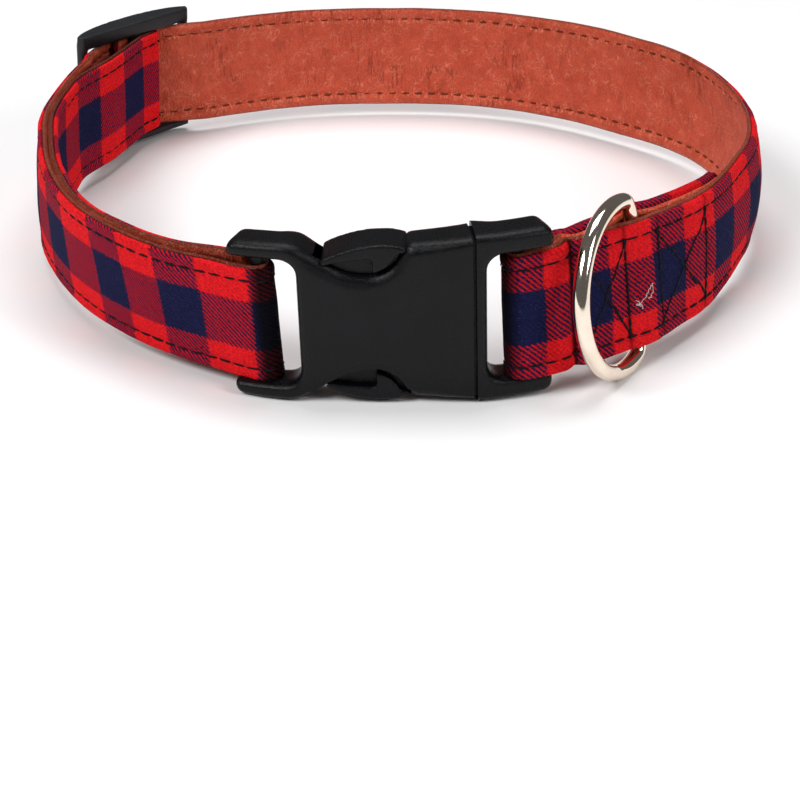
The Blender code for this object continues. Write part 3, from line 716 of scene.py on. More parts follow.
def tan_leather():
    material, nodes, shader = new_material("tan_leather")
    place, (_, across, shown) = nodes.strap_place()
    flat = nodes.scaled(place, (1.0, 1.0, 0.0))
    warp = nodes.add("ShaderNodeTexNoise", {"Vector": place, "Scale": 0.35, "Detail": 2.0})
    shift = nodes.scaled(warp.outputs[1], (1.6, 1.6, 0.0))
    shifted = nodes.add("ShaderNodeVectorMath", {0: shift, 1: flat}, operation="ADD").outputs[0]
    cells, small = (
        nodes.add(
            "ShaderNodeTexVoronoi",
            {"Vector": nodes.scaled(shifted, factors), "Scale": 1.0},
            feature="DISTANCE_TO_EDGE",
        ).outputs[0]
        for factors in ((1.25, 0.75, 1.0), (2.1, 1.6, 1.0))
    )
    pebble = nodes.spread(cells, 0.0, 0.22)
    fine_pebble = nodes.spread(small, 0.0, 0.20)
    wrinkle = nodes.noise(nodes.scaled(place, (0.45, 0.085, 0.0)), 1.0, 3.0, 0.55, 0.6)
    crease = nodes.math("ABSOLUTE", nodes.less(wrinkle, 0.5))
    crease = nodes.spread(crease, 0.0, 0.035)
    amount = nodes.spread(nodes.noise(place, 9.0, 2.0), 0.50, 0.68)
    crease = nodes.less(1.0, nodes.times(nodes.less(1.0, crease), amount))
    mask, fine = nodes.grain(place, 0.25, 1.0)
    height = nodes.times(pebble, 0.55)
    height = nodes.fused(fine_pebble, 0.30, height)
    height = nodes.fused(crease, 0.9, height)
    height = nodes.fused(fine, 0.12, height)
    tone = nodes.noise(place, 6.0, 4.0, 0.6)
    base = nodes.mix(nodes.spread(tone, 0.3, 0.7), TAN_DARK, TAN)
    # Painted highlights: pale glints on the pebbles' ridges and on the puckers along the stitch rows
    patch = nodes.spread(nodes.noise(place, 2.6, 2.0), 0.46, 0.62)
    ridge = nodes.times(nodes.less(1.0, nodes.spread(cells, 0.0, 0.10)), patch)
    level = nodes.math("ABSOLUTE", across)
    row = nodes.less(level, STRAP_WIDTH / MM / 2 - LEATHER_STITCH_IN / MM)
    row = nodes.less(1.0, nodes.spread(nodes.math("ABSOLUTE", row), 0.4, 1.3))
    glint_patches = nodes.noise(nodes.scaled(place, (2.4, 0.8, 0.0)), 1.0, 2.0)
    row = nodes.times(row, nodes.spread(glint_patches, 0.50, 0.66))
    pale = nodes.math("MAXIMUM", nodes.times(ridge, 0.55), nodes.times(row, 0.80))
    dark = nodes.mix(pale, base, TAN_GLINT)
    # Painted shade darkens the wrinkles' creases
    dark = nodes.mix(crease, TAN_CREASE_SHADE, dark)
    rim = nodes.spread(level, 12.1, 12.6)
    colour = nodes.mix(nodes.times(rim, 0.75), dark, TAN_RIM)
    # Painted shadow past the slider's fold, from the place's third value
    colour = nodes.dimmed(colour, nodes.math("ABSOLUTE", shown))
    rough = nodes.fused(rim, -0.12, nodes.spread(mask, 0.0, 1.0, 0.34, 0.50))
    return dressed(material, nodes, shader, colour, rough, 0.34, bump(nodes, height, 0.9, 0.00030))


def plastic(name, dark, pale, patch, grain_size, contrast, rough, specular, relief):
    material, nodes, shader = new_material(name)
    place = nodes.own_place()
    mask, fine = nodes.grain(place, grain_size, contrast)
    colour = nodes.mix(nodes.spread(nodes.noise(place, patch, 3.0), 0.25, 0.75), dark, pale)
    roughness = nodes.spread(mask, 0.0, 1.0, *rough)
    return dressed(material, nodes, shader, colour, roughness, specular, bump(nodes, fine, *relief))


def pale_gold():
    material, nodes, shader = new_material("pale_gold")
    place = nodes.own_place()
    smear = nodes.noise(place, 4.0, 3.0)
    colour = nodes.mix(nodes.spread(smear, 0.3, 0.7), GOLD_DEEP, GOLD_PALE)
    shader.inputs["Metallic"].default_value = 1.0
    roughness = nodes.spread(nodes.grain(place, 0.6, 1.0)[0], 0.0, 1.0, 0.06, 0.12)
    return dressed(material, nodes, shader, colour, roughness, None, bump(nodes, smear, 0.04, 0.0002))


def thread(name, colour, pale):
    material, nodes, shader = new_material(name)
    mask, fine = nodes.grain(nodes.own_place(), 0.12, 1.6)
    mixed = nodes.mix(mask, colour, pale)
    roughness = nodes.spread(mask, 0.0, 1.0, 0.55, 0.8)
    return dressed(material, nodes, shader, mixed, roughness, 0.10, bump(nodes, fine, 0.5, 0.00006))


PLAID = plaid_cloth()
LEATHER_LOOK = tan_leather()
PLASTIC = plastic(
    "black_plastic",
    dark=(0.0020, 0.0021, 0.0028, 1.0),
    pale=(0.0032, 0.0034, 0.0045, 1.0),
    patch=7.0,
    grain_size=0.16,
    contrast=1.2,
    rough=(0.20, 0.38),
    specular=0.19,
    relief=(0.35, 0.00006),
)
SLIDER_LOOK = plastic(
    "slider_plastic",
    dark=(0.010, 0.011, 0.013, 1.0),
    pale=(0.015, 0.016, 0.019, 1.0),
    patch=5.0,
    grain_size=0.20,
    contrast=1.1,
    rough=(0.36, 0.50),
    specular=0.30,
    relief=(0.18, 0.00005),
)
GOLD = pale_gold()
BLACK_THREAD = thread("black_thread", (0.003, 0.002, 0.004, 1.0), (0.015, 0.010, 0.016, 1.0))
BROWN_THREAD = thread("brown_thread", (0.10, 0.018, 0.008, 1.0), (0.24, 0.05, 0.02, 1.0))
PALE_THREAD = thread("pale_thread", (0.55, 0.42, 0.40, 1.0), (0.80, 0.70, 0.66, 1.0))


# ---- Strap pieces ----


def new_object(name, mesh):
    obj = bpy.data.objects.new(name, mesh)
    bpy.context.scene.collection.objects.link(obj)
    return obj


def made_mesh(name, body):
    """A mesh from a bmesh, with its normals outwards. The bmesh is used up."""
    bmesh.ops.recalc_face_normals(body, faces=body.faces)
    mesh = bpy.data.meshes.new(name)
    body.to_mesh(mesh)
    body.free()
    return mesh


def evaluated_mesh(obj):
    """A plain copy of the mesh that an object's modifiers give."""
    graph = bpy.context.evaluated_depsgraph_get()
    return bpy.data.meshes.new_from_object(obj.evaluated_get(graph))


def skinned(name, body, rings, closed=False):
    """Joins rings of corners into one smooth skin, and fills its two ends unless it is closed."""
    pairs = list(zip(rings, rings[1:]))
    if closed:
        pairs.append((rings[-1], rings[0]))
    for ring, following in pairs:
        for corner in range(len(ring)):
            other = (corner + 1) % len(ring)
            body.faces.new((ring[corner], following[corner], following[other], ring[other]))
    if not closed:
        body.faces.new(rings[0])
        body.faces.new(reversed(rings[-1]))
    for face in body.faces:
        face.smooth = True
    return new_object(name, made_mesh(name, body))


def wobble(along, across, size, amount):
    return amount * noise.noise(Vector((along / size, across / size, 3.7)))


def valley(away, width):
    return math.exp(-((away / width) ** 2))


def pucker(gone, pitch):
    """1 where the thread pulls the face down, 0 between two stitches."""
    return 0.5 - 0.5 * math.cos(2 * math.pi * gone / pitch)


def face_heights(half):
    """Heights across the strap's face, closer together at the edges and the stitches."""
    upper = [0.0, 1.6, 3.2, 4.8, 6.2, 7.2, 7.9, 8.4, 8.8, 9.2, 9.6, 10.0, 10.5, 11.0, 11.4, 11.8, 12.1]
    share = [value / 12.5 for value in upper]
    return [-value * half for value in reversed(share[1:])] + [value * half for value in share]


def rounded_edge(half, radius, near, way, groove):
    """The strip's upper edge from its shown face to its hidden one, as (way out, height, place across)."""
    places = []
    for index in range(1, 6):
        turn = math.pi * index / 6
        out = near + way * (radius + radius * math.cos(turn))
        rise = half - radius + radius * math.sin(turn) - groove * (index == 3)
        places.append((out, rise, half + radius * (turn - 1.2)))
    return [*places, (near, half - radius * 1.4, half + radius * 2.2)]


def shell(name, thick, near, way, setback, relief, material):
    """A strip with a rounded edge. near is the offset of its hidden face, and its shown face lies thick beyond it."""
    body = bmesh.new()
    layer = body.verts.layers.float_vector.new("place")
    painted_shades = PAINTED_CLOTH_SHADE if way > 0 else PAINTED_LEATHER_SHADOW
    rings = []
    for station in STATIONS:
        gone = station.gone
        half = half_width(gone) - setback
        if way < 0:
            half -= LEATHER_SHORT * (1 - ramp(gone, RIGHT_GONE - 20 * MM, RIGHT_GONE - 12 * MM))
        # The place's third value is the side's sign, scaled down where shade is painted on the strap
        side = (-1.0 if gone > LEFT_GONE else 1.0) * (1.0 - linear(painted_shades, gone))
        along = gone / MM - PLAID_START + linear(PATTERN_SHIFTS, gone)
        full = thick * (1 + linear(HEMS, gone) * (way > 0))
        radius = full / 2
        groove = HEM_GROOVE * (full > 1.5 * thick)
        face = [
            (near + way * (full + relief(gone, height)), height, height)
            for height in face_heights(half - radius * 0.7)
        ]
        upper = rounded_edge(half, radius, near, way, groove)
        lower = [(out, -height, -across) for out, height, across in reversed(upper)]
        drift = [wobble(gone, level, EDGE_WAVE, EDGE_DRIFT) for level in (0.0, 5.0)]
        ring = []
        for out, height, across in [*face, *upper, (near, 0.0, 0.0), *lower]:
            shift = drift[height < 0] if abs(height) > 0.6 * half else 0.0
            vert = body.verts.new(strap_point(station, out, height + shift))
            vert[layer] = (along, across / MM, side)
            ring.append(vert)
        rings.append(ring)
    piece = skinned(name, body, rings)
    piece.data.materials.append(material)
    return piece


# The cloth lies thicker, in more folds, where it runs inside the loop
HEMS = (
    (0.0, 1.0),
    (12 * MM, 1.3),
    (RIGHT_GONE - 22 * MM, 2.0),
    (RIGHT_GONE - 14 * MM, 2.0),
    (RIGHT_GONE - 4 * MM, 0.0),
    (LEFT_GONE + 4 * MM, 0.0),
    (LEFT_GONE + 9 * MM, 0.5),
    (LENGTH - 12 * MM, 0.0),
    (LENGTH, 0.0),
)


PLAID_START = gone_at(PLAID_ANCHOR) / MM
# How far the woven pattern has slipped along, in millimetres, by the length gone
PATTERN_SHIFTS = (
    (0.0, -5.4),
    (gone_at(CREASE_ANGLE - 0.7), -5.4),
    (gone_at(CREASE_ANGLE + 0.7), 0.0),
    (gone_at(285), 0.0),
    (gone_at(295), -1.0),
    (gone_at(313), -4.0),
    (gone_at(326), -1.0),
    (LEFT_GONE, -1.0),
    (LEFT_GONE + 40 * MM, 6.5),
    (LENGTH, 6.5),
)


CREASE_GONE = gone_at(CREASE_ANGLE)
# Painted shade: how much darker the cloth is painted at its inner end, where it turns round a bar, in the crease and
# at the box seams, by the length gone
PAINTED_CLOTH_SHADE = (
    (0.0, 0.25),
    (RIGHT_GONE - 6 * MM, 0.0),
    (RIGHT_GONE - 3 * MM, 0.85),
    (RIGHT_GONE + 1.2 * MM, 0.90),
    (RIGHT_GONE + 3.4 * MM, 0.0),
    (CREASE_GONE - 1.3 * MM, 0.0),
    (CREASE_GONE - 0.5 * MM, 0.80),
    (CREASE_GONE + 0.5 * MM, 0.80),
    (CREASE_GONE + 1.3 * MM, 0.0),
    *(
        (gone_at(angle) + step * MM, dark)
        for angle in SEAM_ANGLES
        for step, dark in ((-0.8, 0.0), (0.0, 0.55), (0.8, 0.0))
    ),
    (LEFT_GONE - 4.8 * MM, 0.0),
    (LEFT_GONE - 3.0 * MM, 0.95),
    (LEFT_GONE + 3 * MM, 0.85),
    (LEFT_GONE + 6 * MM, 0.0),
    (LENGTH, 0.0),
)


# Painted shadow on the leather just past its fold round the slider's bar, by the length gone
PAINTED_LEATHER_SHADOW = (
    (0.0, 0.0),
    (gone_at(220.5), 0.0),
    (gone_at(224.5), 0.62),
    (gone_at(232), 0.62),
    (gone_at(236), 0.0),
    (LENGTH, 0.0),
)


def cloth_relief(gone, height):
    edge = STRAP_WIDTH / 2 - STITCH_IN
    away = abs(height) - edge
    hem = 0.16 * MM * math.sin(math.pi * min(1.0, max(0.0, away / STITCH_IN)))
    dent = (0.16 + 0.16 * pucker(gone, STITCH_PITCH)) * MM * valley(away, 0.55 * MM)
    ripple = wobble(gone, height, 7 * MM, 0.13 * MM) + wobble(gone, height, 2.4 * MM, 0.05 * MM)
    return hem - dent + ripple


def leather_relief(gone, height):
    edge = STRAP_WIDTH / 2 - LEATHER_STITCH_IN
    away = abs(height) - edge
    roll = 0.30 * MM * math.sin(math.pi * min(1.0, max(0.0, away / LEATHER_STITCH_IN))) ** 0.8
    dent = (0.25 + 0.22 * pucker(gone, LEATHER_STITCH_PITCH)) * MM * valley(away, 0.6 * MM)
    side = 0.14 * MM * (1 - pucker(gone, LEATHER_STITCH_PITCH)) * valley(abs(away) - 1.1 * MM, 0.6 * MM)
    ripple = wobble(gone, height / 4, 3.2 * MM, 0.10 * MM) + wobble(gone, height, 8 * MM, 0.16 * MM)
    return roll - dent + side + ripple


cloth = shell("plaid_strap", CLOTH, PLY / 2 - CLOTH, 1, CLOTH_BACK, cloth_relief, PLAID)
leather = shell("leather_lining", LEATHER, -PLY / 2 + LEATHER, -1, 0.0, leather_relief, LEATHER_LOOK)


# ---- Stitches ----


def stitch_shape(name, length, width, sink):
    """One stitch along +X: thin, arched, its ends sunk into the cloth."""
    body = bmesh.new()
    rings = []
    for index in range(7):
        share = index / 6
        place = (share - 0.5) * length
        radius = width / 2 * (0.35 + 0.65 * math.sin(math.pi * share) ** 0.5)
        lift = -sink * (2 * share - 1) ** 4
        rings.append(
            [
                body.verts.new((place, radius * math.cos(turn), lift + 0.8 * radius * math.sin(turn)))
                for turn in [2 * math.pi * corner / 8 for corner in range(8)]
            ]
        )
    obj = skinned(name, body, rings)
    obj.hide_render = True
    obj.hide_viewport = True
    return obj


def stitch_tree():
    """Places one stitch at an even pitch along each path, turned along it and up from the cloth."""
    tree = bpy.data.node_groups.new("stitch_row", "GeometryNodeTree")
    face = tree.interface
    kinds = {"Pitch": "Float", "Stitch": "Object", "Thread": "Material", "Seed": "Int"}
    face.new_socket("Geometry", in_out="INPUT", socket_type="NodeSocketGeometry")
    sockets = [face.new_socket(key, in_out="INPUT", socket_type="NodeSocket" + kind) for key, kind in kinds.items()]
    face.new_socket("Geometry", in_out="OUTPUT", socket_type="NodeSocketGeometry")
    nodes = Nodes(tree)
    given = nodes.add("NodeGroupInput").outputs
    end = nodes.add("NodeGroupOutput")
    line = nodes.add("GeometryNodeMeshToCurve", {"Mesh": given["Geometry"]})
    row = nodes.add("GeometryNodeResampleCurve", mode="LENGTH")
    nodes.feed(row.inputs["Curve"], line.outputs[0])
    nodes.feed(row.inputs["Length"], given["Pitch"])
    tangent = nodes.add("GeometryNodeInputTangent").outputs[0]
    along = nodes.add("FunctionNodeAlignRotationToVector", {"Vector": tangent}, axis="X")
    out = nodes.add("GeometryNodeInputNamedAttribute", {"Name": "outward"}, data_type="FLOAT_VECTOR")
    turned = {"Rotation": along.outputs[0], "Vector": out.outputs[0]}
    upward = nodes.add("FunctionNodeAlignRotationToVector", turned, axis="Z", pivot_axis="X")
    vary = nodes.add("FunctionNodeRandomValue", {"Seed": given["Seed"]}, data_type="FLOAT_VECTOR")
    vary.inputs[0].default_value = (0.88, 0.85, 0.85)
    vary.inputs[1].default_value = (1.08, 1.15, 1.15)
    source = nodes.add("GeometryNodeObjectInfo", {"Object": given["Stitch"]})
    values = {"Points": row.outputs[0], "Instance": source.outputs["Geometry"]}
    values |= {"Rotation": upward.outputs[0], "Scale": vary.outputs[0]}
    copies = nodes.add("GeometryNodeInstanceOnPoints", values)
    real = nodes.add("GeometryNodeRealizeInstances", {0: copies.outputs[0]})
    painted = nodes.add("GeometryNodeSetMaterial", {"Geometry": real.outputs[0], "Material": given["Thread"]})
    nodes.feed(end.inputs[0], painted.outputs[0])
    return tree, [socket.identifier for socket in sockets]


STITCH_TREE, STITCH_KEYS = stitch_tree()


def stitched(name, paths, pitch, shape, look, seed):
    """Stitches along paths, each a list of (place, way out)."""
    body = bmesh.new()
    outward = body.verts.layers.float_vector.new("outward")
    for path in paths:
        last = None
        for place, way in path:
            vert = body.verts.new(place)
            vert[outward] = way
            if last is not None:
                body.edges.new((last, vert))
            last = vert
    guide = new_object(name + "_guide", made_mesh(name + "_paths", body))
    step = guide.modifiers.new("stitches", "NODES")
    step.node_group = STITCH_TREE
    for key, value in zip(STITCH_KEYS, (pitch, shape, look, seed)):
        step[key] = value
    bpy.context.view_layer.update()
    made = evaluated_mesh(guide)
    guide.modifiers.clear()
    bpy.data.objects.remove(guide, do_unlink=True)
    made.name = name
    return new_object(name, made)


def on_strap(index, height, out):
    """A place on the strap's face with the way out of it."""
    station = STATIONS[index]
    way = station.right if out > 0 else -station.right
    return strap_point(station, out, height), Vector((way.x, way.y, 0.0))


def row_path(first, last, height, out):
    step = 1 if last > first else -1
    return [on_strap(index, height, out) for index in range(first, last, step)]


def face_line(start, end, out):
    """A straight line on the strap's face between two (station, height) places."""
    steps = 24
    path = []
    for number in range(steps + 1):
        share = number / steps
        index = round(start[0] + (end[0] - start[0]) * share)
        height = start[1] + (end[1] - start[1]) * share
        path.append(on_strap(index, height, out))
    return path


CLOTH_FACE = PLY / 2 - 0.14 * MM
LEATHER_FACE = -PLY / 2 + 0.24 * MM
STITCH_ROW = STRAP_WIDTH / 2 - STITCH_IN
LEATHER_ROW = STRAP_WIDTH / 2 - LEATHER_STITCH_IN
LAST = len(STATIONS) - 1
long_stitch = stitch_shape("cloth_stitch", 3.15 * MM, 0.50 * MM, 0.24 * MM)
short_stitch = stitch_shape("box_stitch", 2.4 * MM, 0.58 * MM, 0.10 * MM)
leather_stitch = stitch_shape("leather_stitch", 2.3 * MM, 0.48 * MM, 0.34 * MM)

edge_paths = [row_path(8, LAST - 2, side * STITCH_ROW, CLOTH_FACE) for side in (-1, 1)]
edge_stitches = stitched("edge_stitches", edge_paths, STITCH_PITCH, long_stitch, BLACK_THREAD, 3)
leather_paths = [row_path(8, LAST - 2, side * LEATHER_ROW, LEATHER_FACE) for side in (-1, 1)]
leather_stitches = stitched("lining_stitches", leather_paths, LEATHER_STITCH_PITCH, leather_stitch, BROWN_THREAD, 5)

def box_paths():
    paths = []
    face = CLOTH_FACE + 0.20 * MM
    for start_angle, end_angle in BOX_ANGLES:
        start = outer_index(start_angle)
        end = outer_index(end_angle)
        paths.append(face_line((start, -BOX_HALF), (start, BOX_HALF), face))
        paths.append(face_line((end, -BOX_HALF), (end, BOX_HALF), face))
        paths.append(face_line((start, -BOX_HALF), (end, BOX_HALF), face))
        paths.append(face_line((start, BOX_HALF), (end, -BOX_HALF), face))
    return paths


box_stitches = stitched("box_stitches", box_paths(), 2.1 * MM, short_stitch, BLACK_THREAD, 9)


def loose_path():
    """A fallen end of pale thread lying in wiggles on the cloth."""
    first = outer_index(37.6)
    last = outer_index(41.4)
    path = []
    for step in range(61):
        share = step / 60
        height = -2.6 - 1.6 * math.sin(7.0 * share) - 0.8 * math.sin(17.0 * share)
        away = 2.4 * math.sin(11.0 * share + 0.6)
        index = round(first + (last - first) * share + away)
        path.append(on_strap(index, height * MM, CLOTH_FACE + 0.35 * MM))
    return path


hair = stitch_shape("thread_end", 0.7 * MM, 0.11 * MM, 0.0)
loose_thread = stitched("loose_thread", [loose_path()], 0.3 * MM, hair, PALE_THREAD, 13)


# ---- Moulded pieces ----


def rounded_outline(corners, steps=8):
    points = []
    count = len(corners)
    for index, (x, y, radius) in enumerate(corners):
        corner = Vector((x, y))
        if radius <= 0:
            points.append(corner)
            continue
        back = (Vector(corners[index - 1][:2]) - corner).normalized()
        ahead = (Vector(corners[(index + 1) % count][:2]) - corner).normalized()
        half = back.angle(ahead) / 2
        centre = corner + (back + ahead).normalized() * radius / math.sin(half)
        start = corner + back * radius / math.tan(half)
        sweep = (start - centre).angle_signed(corner + ahead * radius / math.tan(half) - centre)
        for step in range(steps + 1):
            points.append(centre + Matrix.Rotation(-sweep * step / steps, 2) @ (start - centre))
    return points


HIDDEN = []


def hidden_object(name, mesh):
    """A shape that is only used up in others. It is removed at the end."""
    piece = new_object(name, mesh)
    piece.hide_render = True
    HIDDEN.append(piece)
    return piece


def plate(name, outline, depth, upright=True):
    """The outline extruded evenly to a depth."""
    curve = bpy.data.curves.new(name, "CURVE")
    curve.dimensions = "2D"
    curve.fill_mode = "BOTH"
    curve.extrude = depth / 2
    spline = curve.splines.new("POLY")
    spline.points.add(len(outline) - 1)
    for point, (x, y) in zip(spline.points, outline):
        point.co = (x, y, 0.0, 1.0)
    spline.use_cyclic_u = True
    drawn = new_object(name + "_curve", curve)
    body = bmesh.new()
    body.from_mesh(evaluated_mesh(drawn))
    bpy.data.objects.remove(drawn, do_unlink=True)
    bmesh.ops.remove_doubles(body, verts=body.verts, dist=1e-6)
    bmesh.ops.dissolve_limit(body, angle_limit=math.radians(0.5), verts=body.verts, edges=body.edges)
    if upright:
        bmesh.ops.rotate(body, matrix=Matrix.Rotation(math.pi / 2, 3, "X"), verts=body.verts)
    return hidden_object(name, made_mesh(name, body))


def box_outline(left, right, low, high, radius=0.0):
    return rounded_outline(
        [(left, low, radius), (right, low, radius), (right, high, radius), (left, high, radius)]
    )


def round_bar(name, place, width, height):
    body = bmesh.new()
    matrix = Matrix.Translation((place, 0, 0))
    ends = {"radius1": width / 2, "radius2": width / 2, "depth": height}
    bmesh.ops.create_cone(body, cap_ends=True, segments=32, matrix=matrix, **ends)
    return hidden_object(name, made_mesh(name, body))


def combine(base, tools, operation):
    """Adds the other shapes to the base or cuts them from it."""
    for tool in tools:
        step = base.modifiers.new(operation.lower(), "BOOLEAN")
        step.operation = operation
        step.object = tool


def frozen(obj):
    """Gives an object its evaluated mesh, without its modifiers."""
    body = bmesh.new()
    body.from_mesh(evaluated_mesh(obj))
    bmesh.ops.remove_doubles(body, verts=body.verts, dist=1e-5)
    bmesh.ops.dissolve_degenerate(body, edges=body.edges, dist=1e-5)
    obj.modifiers.clear()
    body.to_mesh(obj.data)
    body.free()
    return obj


def softened(obj):
    """Rounds every edge of a shape: it is laid on an even grid and smoothed."""
    step = obj.modifiers.new("even grid", "REMESH")
    step.mode = "VOXEL"
    step.voxel_size = GRID
    soft = obj.modifiers.new("soft edges", "SMOOTH")
    soft.factor = 0.5
    soft.iterations = PASSES
    mesh = evaluated_mesh(obj)
    obj.modifiers.clear()
    obj.data = mesh
    return obj


def gathered(base, others):
    """Puts the meshes of other shapes into the base's mesh."""
    body = bmesh.new()
    for shape in (base, *others):
        body.from_mesh(shape.data)
    bmesh.ops.recalc_face_normals(body, faces=body.faces)
    body.to_mesh(base.data)
    body.free()
    return base


def drawn_in(outline, amount):
    """The outline moved inwards, half as far at the slots and the thin rails."""
    count = len(outline)
    area = sum(outline[i - 1][0] * outline[i][1] - outline[i][0] * outline[i - 1][1] for i in range(count))
    turn = math.copysign(1, area)
    moved = []
    for index, (x, y) in enumerate(outline):
        along = (Vector(outline[(index + 1) % count]) - Vector(outline[index - 1])).normalized()
        step = amount * turn * (1 - 0.5 * ramp(abs(x), 13 * MM, 17 * MM))
        moved.append((x - along.y * step, y + along.x * step))
    return moved


def rounded_plate(name, outline, depth, radius):
    """A plate whose rims are rounded: stacked layers, each drawn in a little, made into one and smoothed."""
    layers = []
    for index in range(RIM_STEPS + 1):
        turn = math.pi / 2 * index / RIM_STEPS
        thick = depth - 2 * radius * (1 - math.sin(turn))
        layers.append(plate(name, drawn_in(outline, radius * (1 - math.cos(turn))), thick))
    return softened(gathered(layers[0], layers[1:]))


def bent(mesh):
    """Bends a mesh that was drawn flat to the curve of the buckle."""
    body = bmesh.new()
    body.from_mesh(mesh)
    for vert in body.verts:
        if vert.co.y > 0:
            vert.co.y *= 1 - RAIL_THINNING * ramp(abs(vert.co.x), 15 * MM, 21 * MM)
        plan = buckle_point(vert.co.x, -vert.co.y)
        rolled = plan.x * math.cos(math.asin(ROLL)) - vert.co.z * ROLL
        height = plan.x * ROLL + vert.co.z * math.cos(math.asin(ROLL))
        vert.co = Vector((rolled, plan.y, MIDDLE_HEIGHT + BUCKLE_LIFT + height)) + SHIFT
    body.to_mesh(mesh)
    body.free()


def moulded(name, base, material):
    """A finished plastic piece from a shape."""
    mesh = base.data
    mesh.materials.clear()
    mesh.materials.append(material)
    mesh.shade_smooth()
    mesh.set_sharp_from_angle(angle=math.radians(38))
    mesh.name = name
    piece = new_object(name, mesh)
    flow = piece.modifiers.new("flat faces", "WEIGHTED_NORMAL")
    flow.keep_sharp = True
    return piece


# Heights of the buckle's edge as (place along it, half height), and the thumb notch as (share along, share of depth)
EDGE = (
    (-BUCKLE_HALF, 0.98 * SOCKET_END_HEIGHT / 2),
    (NOTCH_START - 5.0 * MM, SOCKET_END_HEIGHT / 2),
    (NOTCH_START, SOCKET_END_HEIGHT / 2),
    (NOTCH_END, MOUTH_HEIGHT / 2 + SOCKET_SPREAD),
    (SEAM, BUCKLE_HEIGHT / 2 + PRONG_SPREAD),
    (BUCKLE_HALF, BUCKLE_HEIGHT / 2 + PRONG_SPREAD),
)
NOTCH = (
    (-0.10, 0.0),
    (0.0, 0.0),
    (0.05, 0.02),
    (0.134, 0.13),
    (0.293, 0.50),
    (0.466, 0.88),
    (0.629, 1.00),
    (0.75, 0.95),
    (0.862, 0.66),
    (0.944, 0.18),
    (1.0, 0.0),
    (1.1, 0.0),
)


def half_height(place):
    return linear(EDGE, place)


def notch_edge(place, spare=0.0):
    share = min(1.0, max(0.0, (place - NOTCH_START) / (NOTCH_END - NOTCH_START)))
    index = max(i for i in range(1, len(NOTCH) - 2) if NOTCH[i][0] <= share)
    start = NOTCH[index]
    end = NOTCH[index + 1]
    part = (share - start[0]) / (end[0] - start[0])
    dip = hermite(NOTCH[index - 1], start, end, NOTCH[min(index + 2, len(NOTCH) - 1)], part)
    return half_height(place) - NOTCH_DEPTH * dip + spare


def mirrored(upper):
    return upper + [(x, -y) for x, y in reversed(upper)]


def strap_bar(name, place):
    side = math.copysign(1, place)
    bar = round_bar(name, place, BAR_WIDTH, 2 * SLOT_HALF + 2 * MM)
    for vert in bar.data.vertices:
        vert.co.y += side * BAR_LEAN * vert.co.z - BAR_OUT
    return bar


def rail_corners(side, slot):
    end = RAIL_END if side > 0 else SOCKET_RAIL_END
    height = half_height(side * end)
    points = rounded_outline(
        [
            (side * slot, 0, 0),
            (side * slot, SLOT_HALF, SLOT_CORNER),
            (side * end, SLOT_HALF, RAIL_EDGE),
            (side * end, height, RAIL_CORNER),
            (side * (end - 6 * MM), half_height(side * (end - 6 * MM)), 0),
        ]
    )
    return [(x, y) for x, y in points[1:]]


def buckle_socket():
    upper = rail_corners(-1, SOCKET_SLOT)
    for index in range(41):
        place = NOTCH_START + (NOTCH_END - NOTCH_START) * index / 40
        upper.append((place, notch_edge(place)))
    upper += [(SEAM + CUT_SPARE, half_height(SEAM))]
    body = rounded_plate("socket_body", mirrored(upper), BUCKLE_DEPTH, RIM_ROUND)
    inner = BUCKLE_HEIGHT / 2 - BUCKLE_SIDE
    hollow = box_outline(-SOCKET_SLOT + 2.4 * MM, SEAM, -inner, inner)
    cavity = plate("socket_cavity", hollow, BUCKLE_DEPTH - 2 * BUCKLE_WALL)
    beyond = box_outline(SEAM, SEAM + 2 * CUT_SPARE, -BUCKLE_HEIGHT, BUCKLE_HEIGHT)
    mouth = plate("socket_mouth", beyond, 2 * BUCKLE_DEPTH)
    combine(body, [cavity, mouth], "DIFFERENCE")
    frozen(body)
    gathered(body, [strap_bar("socket_bar", -BAR_LEFT)])
    bent(body.data)
    return moulded("socket_half", body, PLASTIC)


def prong_head(side):
    lip = []
    for index in range(14):
        place = BUTTON_STEP + (NOTCH_END - LIP_GAP - BUTTON_STEP) * index / 13
        lip.append((place, min(notch_edge(place + FIT, FIT), BUTTON_HEIGHT - LIP_DROP)))
    top = []
    first = NOTCH_END - BUTTON_GAP
    for index in range(31):
        share = index / 30
        drop = BUTTON_DROP_MOUTH if share < BUTTON_PEAK else BUTTON_DROP_START
        place = first + (BUTTON_START - first) * share
        top.append((place, BUTTON_HEIGHT - drop * (share - BUTTON_PEAK) ** 2))
    tip = top[-1][1]
    low = [
        (BUTTON_START + 0.2 * MM, tip - 1.2 * MM),
        (BUTTON_START + 3.0 * MM, tip - 0.6 * MM),
        (BUTTON_STEP, BUTTON_HEIGHT - 2.7 * MM),
    ]
    outline = [(x, side * y) for x, y in lip + top + low]
    return softened(plate("prong_head", outline, BUCKLE_DEPTH - BUTTON_IN))


def prong_arm(side):
    depth = BUCKLE_DEPTH - 2 * BUCKLE_WALL - 2 * FIT
    outer = BUCKLE_HEIGHT / 2 - BUCKLE_SIDE - FIT
    outline = [
        (SEAM + 2 * MM, outer - 4.2 * MM),
        (SEAM + 2 * MM, outer - 0.6 * MM),
        (NOTCH_END, outer),
        (NOTCH_END - 1.2 * MM, BUTTON_HEIGHT - 2.0 * MM),
        (BUTTON_STEP, BUTTON_HEIGHT - 1.2 * MM),
        (BUTTON_START + 3.6 * MM, BUTTON_HEIGHT - 2.4 * MM),
        (BUTTON_START + 1.2 * MM, BUTTON_HEIGHT - 4.6 * MM),
        (BUTTON_START + 0.4 * MM, outer - ARM_THICK),
        (NOTCH_END, outer - ARM_THICK),
    ]
    return plate("prong_arm", [(x, side * y) for x, y in outline], depth)


